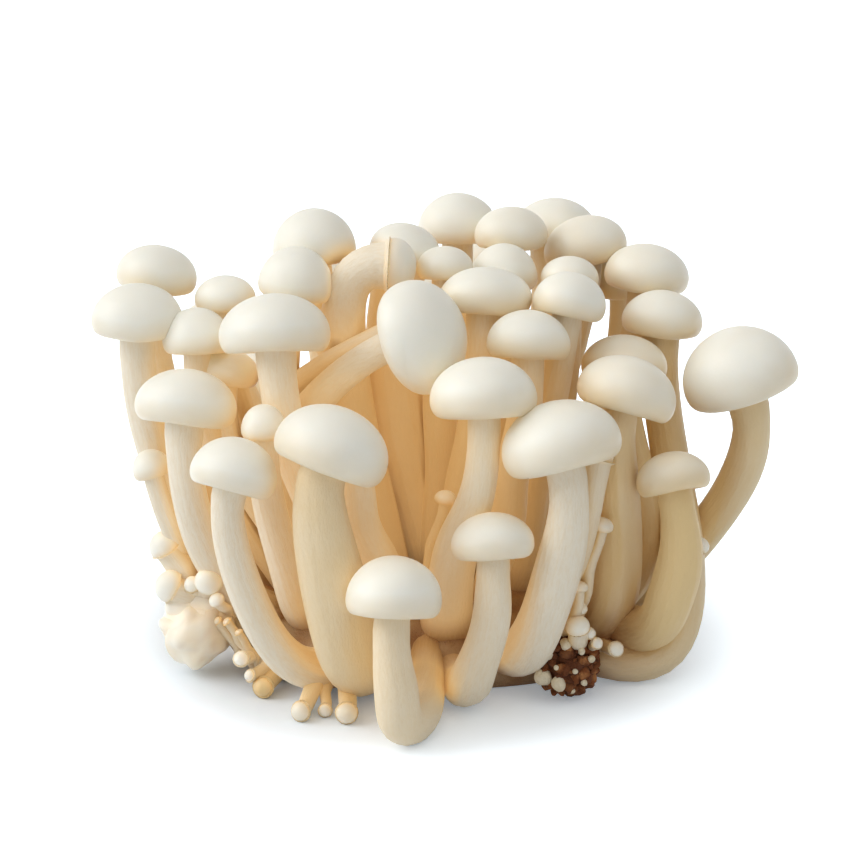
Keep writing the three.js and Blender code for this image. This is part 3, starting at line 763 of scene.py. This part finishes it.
def mushroom_skin(m, seed, columns=96, rows=ROWS):
    """Rings (rows, columns, 3) and two poles of a mushroom's skin, with the profile and turn that made them.
    A ring is place + along * height + width * (side * cos turn + across * sin turn)."""
    rng = np.random.default_rng(seed)
    share, lift, radius, zone = skin_profile(m, rows)
    r = m["r"] * MM
    turn = turns(columns)
    handles = route_handles(m)
    place, side, across, along = route_frame(handles, share)
    up, out = share[:, None], np.clip(radius / r, 0, 1)[:, None]

    # the stem: bulges along it, and an uneven section that twists slowly, with shallow grooves
    bulges = BULGE * np.sin(2 * np.pi * rng.uniform(*BULGE_COUNT) * up + rng.uniform(*ANY_PHASE))
    section = sum(waves(rng, turn + twist * up, counts, size) for counts, size, twist in STEM_WAVES)
    uneven_stem = 1 + (bulges + section) * smooth(1 - up, 0, STEADY_END)
    # the cap: a rim that isn't quite round or flat
    uneven_cap = 1 + sum(waves(rng, turn, *wave) for wave in RIM_WAVES) * out**2
    sag = r * sum(waves(rng, turn, *wave) for wave in SAG_WAVES) * out**2
    is_cap = (zone > 0)[:, None]
    width = radius[:, None] * np.where(is_cap, uneven_cap, uneven_stem)
    height = lift[:, None] + np.where(is_cap, sag, 0)
    # the gills: every second column is folded up, most in the middle of their length
    inmost = radius[zone == 1][0]
    g = np.where(zone == 1, (radius - inmost) / (GILL_EDGE * r - inmost), 0)
    depth = GILL_DEPTH * r * np.sin(np.pi * g**GILL_SKEW) * (zone == 1)
    height = height + np.where(np.arange(columns) % 2, 1, -1) * depth[:, None]

    sway = np.sin(2 * np.pi * rng.uniform(*WANDER_COUNT) * share + rng.uniform(*ANY_PHASE))
    wander = WANDER * np.sin(np.pi * share) * sway
    rings = (place + side * wander[:, None])[:, None] + along[:, None] * height[..., None]
    rings = rings + side[:, None] * (width * np.cos(turn))[..., None]
    rings = rings + across[:, None] * (width * np.sin(turn))[..., None]
    first = place[0] - along[0] * radius[0] * FOOT_ROUND
    last = place[-1] + along[-1] * r * m.get("dome", DOME)
    ripe = rng.uniform(-RIPE_SPREAD, RIPE_SPREAD) + m.get("tan", 0)
    return {"rings": rings, "first": first, "last": last, "zone": zone, "share": share, "radius": radius,
            "lift": lift, "turn": turn, "handles": handles, "r": r, "ripe": ripe}


# %% Neighbours
STRING = 12  # points along a stem


def strung_points(skin):
    """Points along a stem's route, with the radius there and the length each stands for, in millimetres."""
    t = (np.arange(STRING) + 0.5) / STRING
    at, _ = along_route(skin["handles"], t)
    stem = skin["zone"] == 0
    radius = np.interp(t, skin["share"][stem], skin["radius"][stem])
    length = np.linalg.norm(np.diff(at, axis=0), axis=1).sum() * STRING / (STRING - 1)
    string = {"at": at, "radius": radius, "step": np.full(STRING, length / STRING)}
    return {key: (value / MM).astype(np.float32) for key, value in string.items()}


def all_but(node):
    """The strung points of every stem but that one, joined."""
    rest = [string for name, string in strings.items() if name != node]
    return {key: np.concatenate([string[key] for string in rest]) for key in rest[0]}


def ring_normals(rings):
    """Unit normals of a sleeve's points: the cross product of the steps round a row and up the rows."""
    around = np.roll(rings, -1, axis=1) - np.roll(rings, 1, axis=1)
    upward = np.gradient(rings, axis=0)
    return unit(np.cross(around, upward) + 1e-12)


# %% Mushrooms
# Painted shade: the right side, away from the key lamp, gets more honey in its colour, by this for each
# millimetre.
SHADE_TO_RIGHT = 0.005  # the right side of the bunch has more honey, by this for each millimetre
# On a cap, the painted warm bounce light from neighbours and the painted shade to the right are scaled by
# this share.
CAP_SHARE = 0.5  # how much of the neighbours' colour shows on a cap
# Painted shade: more honey low on a cap and under it, where less light reaches.
SHADE_UNDER_CAP, UNDER_UP_TO = 0.5, 0.75  # more honey under a cap, up to that height over its radius
# Painted shade and light, listed per piece: more honey darkens stems and caps that lie in shade, mostly on
# the right, and less lightens some on the left.
PAINTED_SHADING = {  # more honey than the rest have, in the stem and in the cap
    "mushroom_01": (0.45, 0), "mushroom_02": (0, -0.2), "mushroom_03": (0.7, 0), "mushroom_04": (0.25, 0),
    "mushroom_05": (-0.35, -0.1), "mushroom_06": (0.9, 0.25), "mushroom_07": (0, -0.1),
    "mushroom_09": (0.45, 0.05), "mushroom_10": (0.5, 0.15), "mushroom_11": (0.4, -0.2),
    "mushroom_13": (-1, 0), "mushroom_15": (0, -0.3), "mushroom_16": (-0.6, 0), "mushroom_23": (0.5, 0.1),
    "mushroom_29": (0.3, 0), "mushroom_35": (0, -0.3),
}
STOUTER = {"mushroom_21": 1.1, "mushroom_30": 1.15}  # stems that swell a little more than the solid ones


def skin_parts(name, skin, others):
    """Points, faces, vertex values and finishes (0 stem, 1 gills, 2 cap) of a skin among other stems."""
    rows, columns = skin["rings"].shape[:2]
    points = sleeve_points(skin["rings"], skin["first"], skin["last"])
    zone = skin["zone"]
    finish = np.select([zone == 0, zone == 1], [0, 1], 2)
    slots = np.concatenate([np.zeros(columns), np.repeat(finish[1:], columns), np.full(columns, 2)])
    # The extra honey here is the piece's own tone plus painted shade: listed per piece, under its cap and
    # towards the right.
    stem_shading, cap_shading = PAINTED_SHADING.get(name, (0, 0))
    under = np.where(zone > 0, 1 - smooth(skin["lift"] / skin["r"], 0, UNDER_UP_TO), 0)
    tan = np.repeat(np.where(zone == 0, stem_shading, cap_shading) + skin["ripe"] + SHADE_UNDER_CAP * under, columns)
    crowded = crowding(skin["rings"].reshape(-1, 3), ring_normals(skin["rings"]).reshape(-1, 3), others)
    crowded, tan = (np.concatenate([value[:1], value, value[-1:]]) for value in (crowded, tan))
    share = np.concatenate([[1.0], np.repeat(np.where(zone > 1, CAP_SHARE, 1.0), columns), [CAP_SHARE]])
    values = warmth(points, crowded, tan + share * SHADE_TO_RIGHT * points[:, 0] / MM)
    values["inner"] = values["inner"] * share
    length = route_length(skin["handles"]) / MM
    grain = (np.cos(skin["turn"]), np.sin(skin["turn"]), skin["share"][:, None] * length)
    values["grain"] = sleeve_points(np.stack(np.broadcast_arrays(*grain), -1), (0, 0, 0), (0, 0, length))
    return points, sleeve_corners(rows, columns), values, slots


skins = {}
for i, m in enumerate(MUSHROOMS):
    node = f"mushroom_{i + 1:02d}"
    skins[node] = mushroom_skin({**m, "stout": STOUTER.get(node, 1)}, seed=100 + i)
for i, m in enumerate(BUDS):
    skins[f"bud_{i + 1:02d}"] = mushroom_skin(m, seed=200 + i, columns=40, rows=FEW_ROWS)
strings = {node: strung_points(skin) for node, skin in skins.items()}

for node, skin in skins.items():
    points, faces, values, slots = skin_parts(node, skin, all_but(node))
    piece = write_mesh(node + "_flesh", points, faces, values, [stem_flesh, gill_flesh, cap_skin], slots)
    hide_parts(node)
print("mushroom skins:", len(skins))

# %% [markdown]
# ## Pins
#
# Round the base sit pins, mushrooms that stopped growing when they were a few millimetres tall. They are the
# same shape as the others, so the same function makes them, with fewer columns, and all of them go into one
# mesh. The first ones have places of their own, and the rest are scattered round the foot of the bunch.
# `tan` is more honey than the others have.

# %% Pins
PINS = [
    # beside the stump
    {"cap": [-39.6, -8, 20.5], "r": 1.2, "lean": [-10, -10], "foot": [-37.5, -5, 15], "stem": [1, 1.1, 0.8]},
    {"cap": [-42.6, -11.5, 17], "r": 1.5, "lean": [-20, -40], "foot": [-41, -8, 13], "stem": [1.3, 1.4, 1.2]},
    {"cap": [-38.2, -14.5, 15.2], "r": 1.4, "lean": [-20, -30], "foot": [-35.5, -7, 9],
     "stem": [1, 1.1, 0.9]},
    {"cap": [-38.4, -13, 10.9], "r": 0.8, "lean": [-40, -20], "foot": [-33.8, -11.5, 2.5],
     "stem": [0.8, 0.8, 0.7], "tan": 0.5, "dome": 0.9},
    {"cap": [-36.6, -14, 11.2], "r": 0.8, "lean": [-40, -10], "foot": [-32.2, -13, 2.5],
     "stem": [0.8, 0.9, 0.7], "tan": 0.6, "dome": 0.9},
    {"cap": [-34.6, -15, 9.6], "r": 0.7, "lean": [-30, -10], "foot": [-30.6, -14, 2.5],
     "stem": [0.7, 0.8, 0.6], "tan": 0.6, "dome": 0.9},
    {"cap": [-34, -18.5, 6.2], "r": 1.3, "lean": [-10, -50], "foot": [-31, -12, 4], "stem": [1.1, 1.3, 1.1]},
    {"cap": [-32.4, -20, 3.8], "r": 1, "lean": [-40, -60], "foot": [-28, -13, 4], "stem": [1.2, 1.2, 0.9],
     "tan": 0.3},
    {"cap": [-30.2, -20.4, 1.9], "r": 1.6, "lean": [-20, -70], "foot": [-27, -13, 3], "stem": [1.5, 1.6, 1.4],
     "tan": 1},
    # under the front stems
    {"cap": [-23.3, -30, 1.7], "r": 1.6, "lean": [-20, -70], "foot": [-20, -16, 4], "stem": [1.5, 1.6, 1.3],
     "tan": 0.3},
    {"cap": [-15.7, -31, 1.9], "r": 1.8, "lean": [0, -75], "foot": [-14, -16, 4], "stem": [1.6, 1.7, 1.4],
     "tan": 0.3},
    {"cap": [-19.4, -28.5, 1.2], "r": 1.1, "lean": [0, -75], "foot": [-18, -17, 3], "stem": [1, 1.1, 0.9],
     "tan": 0.3},
    {"cap": [7.4, -20.5, 7.5], "r": 1.4, "lean": [0, -50], "foot": [7, -14, 6], "stem": [1.3, 1.4, 1.2]},
    # above the growing medium
    {"cap": [23.6, -21.5, 16.6], "r": 1.26, "lean": [0, -40], "foot": [22, -14, 12], "stem": [1, 1.1, 0.9]},
    {"cap": [20.7, -21, 15.4], "r": 1.2, "lean": [-10, -40], "foot": [19, -13, 11], "stem": [1, 1, 0.8]},
    {"cap": [25.2, -22.5, 12.6], "r": 1, "lean": [10, -50], "foot": [23, -15, 9], "stem": [0.8, 0.9, 0.8]},
    # on the right, low down and on the side of a stem
    {"cap": [29.7, -22.6, 9.8], "r": 1.25, "lean": [10, -60], "foot": [27, -14, 6], "stem": [1.1, 1.2, 1]},
    {"cap": [26.4, -23, 11], "r": 1, "lean": [20, -50], "foot": [24, -15, 6], "stem": [0.8, 0.9, 0.8]},
    {"cap": [44.4, -13, 24.7], "r": 1.5, "lean": [50, -20], "foot": [41.5, -10, 22], "stem": [1.3, 1.4, 1.2]},
]
SCATTERED = 90
LEFT_FREE = 0.55  # share of the turn, round its front, that has no scattered pins
PIN_SIZES, PIN_HEIGHTS = (0.7, 1.5), (1.4, 9)  # millimetres
PIN_REACH, PIN_FOOT = (0.94, 1.03), 0.8  # how far out their caps and feet are, over the pad's half sides
PIN_LEAN = 55  # degrees
PIN_STEM = (0.8, 0.9, 0.8)
PIN_JITTER = 0.06  # how far round one may move, in radians


def scattered_pins(count, seed):
    """Pins round the pad's edge, leaning outwards: evenly round the turn, moved a little, none in front."""
    rng = np.random.default_rng(seed)
    turn = -np.pi / 2 + 2 * np.pi * np.linspace(LEFT_FREE / 2, 1 - LEFT_FREE / 2, count)
    turn = turn + rng.uniform(-PIN_JITTER, PIN_JITTER, count)
    way = np.stack([np.cos(turn), np.sin(turn)], -1)
    size = rng.uniform(*PIN_SIZES, count)
    reach = rng.uniform(*PIN_REACH, (count, 1))
    cap = way * reach * (PAD["wide"], PAD["deep"])
    foot = way * PIN_FOOT * (PAD["wide"], PAD["deep"])
    z = rng.uniform(*PIN_HEIGHTS, count)
    return [{"cap": [*cap[k], size[k] + z[k]], "r": size[k], "foot": [*foot[k], 0.7 * z[k]],
             "lean": PIN_LEAN * way[k], "stem": np.array(PIN_STEM) * size[k]} for k in range(count)]


def join_parts(parts):
    """Joins (points, faces, values, slots) of several pieces into one of each."""
    starts = np.cumsum([0] + [len(part[0]) for part in parts])
    points = np.concatenate([part[0] for part in parts])
    faces = [face + start for part, start in zip(parts, starts) for face in part[1]]
    values = {label: np.concatenate([part[2][label] for part in parts]) for label in parts[0][2]}
    return points, faces, values, np.concatenate([part[3] for part in parts])


pins = PINS + scattered_pins(SCATTERED, seed=31)
everyone = all_but("base_pins")
pin_parts = [skin_parts("base_pins", mushroom_skin(m, 400 + k, columns=16, rows=FEWEST_ROWS), everyone)
             for k, m in enumerate(pins)]
points, faces, values, slots = join_parts(pin_parts)
pin_piece = write_mesh("base_pins", points, faces, values, [stem_flesh, gill_flesh, cap_skin], slots)
print("pins:", len(pins), "faces:", len(pin_piece.data.polygons))

# %% [markdown]
# ## The base
#
# The base is mycelium: a felted, lumpy pad in which the feet of all the stems have grown together, cut flat
# underneath. It is a sleeve too, from the middle of the cut face, out, up the side and over the top, pushed
# in and out by slow waves in three directions.

# %% The mycelium base
# layers of lumps: height, in millimetres or over the radius, size of a lump in metres, and seed
PAD_LUMPS = ((0.7, 0.008, 11), (0.35, 0.003, 12))
LOBE_LUMPS = ((0.09, 0.005, 13),)
PAD_STAINS = ((0.12, 0.006, 14),)
# This gives the whole base the same painted warm bounce light.
PAD_CROWDED = 0.3  # the base lies among stems all over, so one value does
SIDE_BELOW, SIDE_ABOVE = -38, 84  # degrees at which the side starts at the cut face and ends on the top
FLAT_ROWS, SIDE_ROWS = 9, 22
TALLEST_LUMP = 0.9 * MM
GROWN_AT = (0.3, 3)  # heights in millimetres between which the lumps grow, so the cut edge stays clean


def ripple(points, size, seed, count=14):
    """Smooth lumps of about that size: sine waves in random directions, over the root of their count."""
    rng = np.random.default_rng(seed)
    ways = unit(rng.normal(size=(count, 3))) * (2 * np.pi / size) * rng.uniform(0.6, 1.5, (count, 1))
    return np.sin(points @ ways.T + rng.uniform(0, 2 * np.pi, count)).sum(-1) / np.sqrt(count)


def lumps(points, layers):
    """The layers' ripples, each times its own height, added up."""
    return sum(height * ripple(points, size, seed) for height, size, seed in layers)


def ball_rings(rows, columns, reach):
    """Rings of a ball: (cos b cos a, cos b sin a, sin b), with b from -reach to reach degrees."""
    b, a = np.radians(np.linspace(-reach, reach, rows))[:, None], turns(columns)
    return np.stack(np.broadcast_arrays(np.cos(b) * np.cos(a), np.cos(b) * np.sin(a), np.sin(b)), -1)


def join_sleeves(parts):
    """Points and faces of several sleeves, each a set of rings closed at the mean of its end rows."""
    points, faces, count = [], [], 0
    for rings in parts:
        points.append(sleeve_points(rings, rings[0].mean(0), rings[-1].mean(0)))
        faces += [f + count for f in sleeve_corners(*rings.shape[:2])]
        count += len(points[-1])
    return np.concatenate(points), faces


def pad_rings(columns=220):
    """Rings of the pad: out across the cut face, up to the waist, then a quarter ellipse to the top."""
    flat = np.linspace(0.08, 0.97, FLAT_ROWS) * PAD["cut"]
    b = np.radians(np.linspace(SIDE_BELOW, SIDE_ABOVE, SIDE_ROWS))
    below = b * 90 / -SIDE_BELOW
    side = np.where(b < 0, PAD["cut"] + (1 - PAD["cut"]) * np.cos(below), np.cos(b))
    rise = np.where(b < 0, PAD["waist"] * np.sin(below), (PAD["tall"] - PAD["waist"]) * np.sin(b))
    share, z = np.concatenate([flat, side])[:, None], np.concatenate([0 * flat, PAD["waist"] + rise])[:, None]
    turn = turns(columns)
    rings = (share * np.cos(turn) * PAD["wide"], share * np.sin(turn) * PAD["deep"], z)
    rings = np.stack(np.broadcast_arrays(*rings), -1) * MM
    raised = np.minimum(smooth(z, *GROWN_AT) * lumps(rings, PAD_LUMPS) * MM, TALLEST_LUMP)
    outward = unit(rings * np.array([1, 1, 1.5]) - np.array([0, 0, 0.004]))
    rings = rings + outward * raised[..., None]
    rings[..., 2] = np.maximum(rings[..., 2], 0)
    return rings


def lobe_rings(lobe, rows=16, columns=32):
    """Rings of a lump: a ball with slow waves on it."""
    at, ball = np.array(lobe["at"]) * MM, ball_rings(rows, columns, 82) * lobe["r"] * MM
    rings = at + ball * (1 + lumps(at + ball, LOBE_LUMPS))[..., None]
    rings[..., 2] = np.maximum(rings[..., 2], 0)
    return rings


points, faces = join_sleeves([pad_rings()] + [lobe_rings(lobe) for lobe in LOBES])
values = warmth(points, PAD_CROWDED)
values["foot"] = np.clip(values["foot"] + lumps(points, PAD_STAINS), 0, 1)
base = write_mesh("mycelium_base_felt", points, faces, values, [mycelium])
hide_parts("mycelium_base")
print("faces of the base:", len(base.data.polygons))

# %% [markdown]
# ## The cut stump
#
# One thick stem was cut short when the bunch was trimmed. Its end has healed into a pale, rounded bulge with
# a few lobes round its top, and it turns brown towards the base.

# %% The stump
STUMP_LOBES = [{"at": [-42.3, -9.5, 7.8], "r": 6}, {"at": [-44.6, -9.6, 12], "r": 2.8},
               {"at": [-41.2, -9.6, 12.8], "r": 2.9}, {"at": [-38.6, -9.8, 9.6], "r": 2.8}]
STUMP_END, STUMP_SUNK = 0.22, 0.07  # length of its rounded end and how far that sits back, over the whole
STUMP_THINS = 0.54  # how much thinner its far end is
STUMP_RIBS = 0.06  # how far its three slow ribs stick out, over the radius
STUMP_LUMPS = ((0.45, 0.005, 15),)
STUMP_BROWN, BROWN_AT = 0.34, (-43, -36)  # how brown it gets, and the x in millimetres from where to where
STUMP_STAINS = ((0.1, 0.003, 21),)
STUMP_PATCHES = ((0.1, 0.004, 24),)
# STUMP_WARM paints warm shade, more on the side towards the bunch, and STUMP_LIT a glow, an emission, that
# brightens the stump in the bunch's shade.
STUMP_WARM, WARM_AT = (0.1, 0.2), (-45, -38)  # how warm it is at least and how much more it gets
STUMP_CROWDED, STUMP_LIT = 0.05, 0.3


def stump_rings(columns=48):
    """Rings of the stump: out over its rounded end, then tapering to the thin end, with three slow ribs."""
    cut, top = np.array(STUMP["cut"]) * MM, np.array(STUMP["top"]) * MM
    axis = unit(top - cut)
    side = unit(np.cross(axis, [0, 0, 1]))
    across = np.cross(axis, side)
    length, r = np.linalg.norm(top - cut), STUMP["r"] * MM
    b = np.radians(np.linspace(-80, 0, 9))
    t = np.linspace(0, 1, 12)[1:]
    radius = r * np.concatenate([np.cos(b), 1 - STUMP_THINS * smooth(t, 0, 1)])
    end = STUMP_END * (1 + np.sin(b)) - STUMP_SUNK
    lift = length * np.concatenate([end, end[-1] + (1 - end[-1]) * t])
    turn = turns(columns)
    radius = radius[:, None] * (1 + STUMP_RIBS * np.sin(3 * turn + 1))
    round_ = side * np.cos(turn)[:, None] + across * np.sin(turn)[:, None]
    rings = cut + axis * lift[:, None, None] + round_ * radius[..., None]
    return rings + round_ * (MM * lumps(rings, STUMP_LUMPS))[..., None]


points, faces = join_sleeves([stump_rings()] + [lobe_rings(lobe) for lobe in STUMP_LOBES])
values = warmth(points, STUMP_CROWDED)
x = points[:, 0] / MM
values["foot"] = np.clip(STUMP_BROWN * smooth(x, *BROWN_AT) + lumps(points, STUMP_STAINS), 0, 1)
values["inner"] = STUMP_WARM[0] + STUMP_WARM[1] * smooth(x, *WARM_AT)
values["ripe"] = lumps(points, STUMP_PATCHES)
values["lit"] = np.full(len(points), STUMP_LIT)
stump = write_mesh("cut_stump_flesh", points, faces, values, [cap_skin])
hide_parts("cut_stump")
print("faces of the stump:", len(stump.data.polygons))

# %% [markdown]
# ## The growing medium
#
# Mushrooms like these grow on damp bran and sawdust. A crumb of it stayed in the front of the base: dark
# grains held by mycelium. One lumpy core carries the grains, each with only a few faces, and pale knots of
# mycelium sit on its front.

# %% Growing medium
GRAINS, GRAIN_SIZES = 150, (0.45, 1.25)  # how many, and their radii in millimetres
GRAINS_IN, CORE_IN, KNOTS_OUT = 0.84, 0.82, 1.04  # how far out each kind lies, over the clump's half sizes
CORE_LUMPS = ((0.55, 0.0032, 16), (0.3, 0.0013, 22))
CLUMP_PATCHES = ((0.5, 0.0025, 20),)
CLUMP_TONES = ((0.12, 0.002, 19),)
SQUEEZE = (-2, 1.6)  # how far a grain's sides differ from a ball's, over its roughness
CLUMP_CROWDED = 0.55
CORE_DARK, GRAIN_DARK, KNOT_DARK = 0.9, 0.8, 0.05  # how dark the core, the darkest grain and the knots are
KNOT_WARM = 0.1
KNOTS = np.array([  # x, z and radius of each pale knot, in millimetres
    (18.2, 9.0, 0.85), (21.2, 10.9, 0.95), (23.9, 9.7, 0.65), (17.4, 5.0, 1.5), (20, 4.2, 1.4),
    (25.6, 8.2, 0.65), (22.8, 6.6, 0.5), (19.6, 7.2, 0.45), (24.4, 4.2, 0.55), (22.4, 2.6, 0.5),
])
CLUMP_AT, CLUMP_SIZE = np.array(CLUMP["at"]), np.array(CLUMP["size"])


def grain_rings(at, size, seed, rows=6, columns=9, rough=0.22):
    """Rings of a grain: a ball squeezed by three sizes, turned at random and made uneven by slow waves."""
    rng = np.random.default_rng(seed)
    ball = ball_rings(rows, columns, 72)
    ball = ball * (1 + rng.uniform(*SQUEEZE, 3) * rough) * (1 + rough * ripple(ball, 1.4, seed))[..., None]
    axes, _ = np.linalg.qr(rng.normal(size=(3, 3)))
    axes[:, 0] *= np.sign(np.linalg.det(axes))
    return at + (ball @ axes.T) * size


def scattered(count, seed, share):
    """Points spread evenly over the clump's ellipsoid, by the golden angle, each moved a little."""
    rng = np.random.default_rng(seed)
    k = np.arange(count) + 0.5
    z = 1 - 2 * k / count
    turn = k * np.pi * (3 - np.sqrt(5))
    way = np.stack([np.sqrt(1 - z * z) * np.cos(turn), np.sqrt(1 - z * z) * np.sin(turn), z], -1)
    way = unit(way + rng.normal(scale=0.12, size=way.shape))
    return (CLUMP_AT + way * CLUMP_SIZE * share) * MM


def clump_core(rows=40, columns=64):
    """Rings of the core: the clump's ellipsoid, a little smaller, with lumps of two sizes on it."""
    ball = ball_rings(rows, columns, 86)
    core = (CLUMP_AT + ball * CLUMP_SIZE * CORE_IN) * MM
    return core + ball * (MM * lumps(core, CORE_LUMPS))[..., None]


def on_front(x, z):
    """Points on the clump's front: y = middle - depth * sqrt(1 - x^2 - z^2), x and z over the half sizes."""
    square = ((x - CLUMP_AT[0]) / CLUMP_SIZE[0]) ** 2 + ((z - CLUMP_AT[2]) / CLUMP_SIZE[2]) ** 2
    y = CLUMP_AT[1] - KNOTS_OUT * CLUMP_SIZE[1] * np.sqrt(np.clip(1 - square, 0, 1))
    return np.stack([x, y, z], -1)


rng = np.random.default_rng(17)
places = scattered(GRAINS, 18, GRAINS_IN)
sizes = rng.uniform(*GRAIN_SIZES, GRAINS)
grains = [grain_rings(at, size * MM, 300 + k) for k, (at, size) in enumerate(zip(places, sizes))]
knot_places = on_front(KNOTS[:, 0], KNOTS[:, 1])
knots = [grain_rings(at * MM, r * MM, 500 + k, rows=10, columns=16, rough=0.06)
         for k, (at, r) in enumerate(zip(knot_places, KNOTS[:, 2]))]
sleeves = [clump_core()] + grains + knots
points, faces = join_sleeves(sleeves)
crowded = np.clip(CLUMP_CROWDED + lumps(points, CLUMP_PATCHES), 0, 1)
values = warmth(points, crowded, lumps(points, CLUMP_TONES))
counts = [2 + rings[..., 0].size for rings in sleeves]
darkness = np.concatenate([[CORE_DARK], rng.uniform(0, GRAIN_DARK, len(sleeves) - 1)])
is_knot = np.arange(len(sleeves)) > len(grains)
values["foot"] = np.repeat(np.where(is_knot, KNOT_DARK, darkness), counts)
values["inner"] = np.where(np.repeat(is_knot, counts), KNOT_WARM, values["inner"])
slots = np.repeat(is_knot, [r.shape[1] * (r.shape[0] + 1) for r in sleeves])
clump = write_mesh("growing_medium_grains", points, faces, values, [bran, mycelium], slots)
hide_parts("growing_medium")
print("grains:", len(grains), "knots:", len(knots), "faces:", len(clump.data.polygons))

# %% Check and finish
bpy.context.view_layer.update()
visual_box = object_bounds()
for kind, box in (("solid", cad_box), ("dressed", visual_box)):
    print("sides of the", kind, "box, in mm:", [round((high - low) / MM, 1) for low, high in zip(*box)])
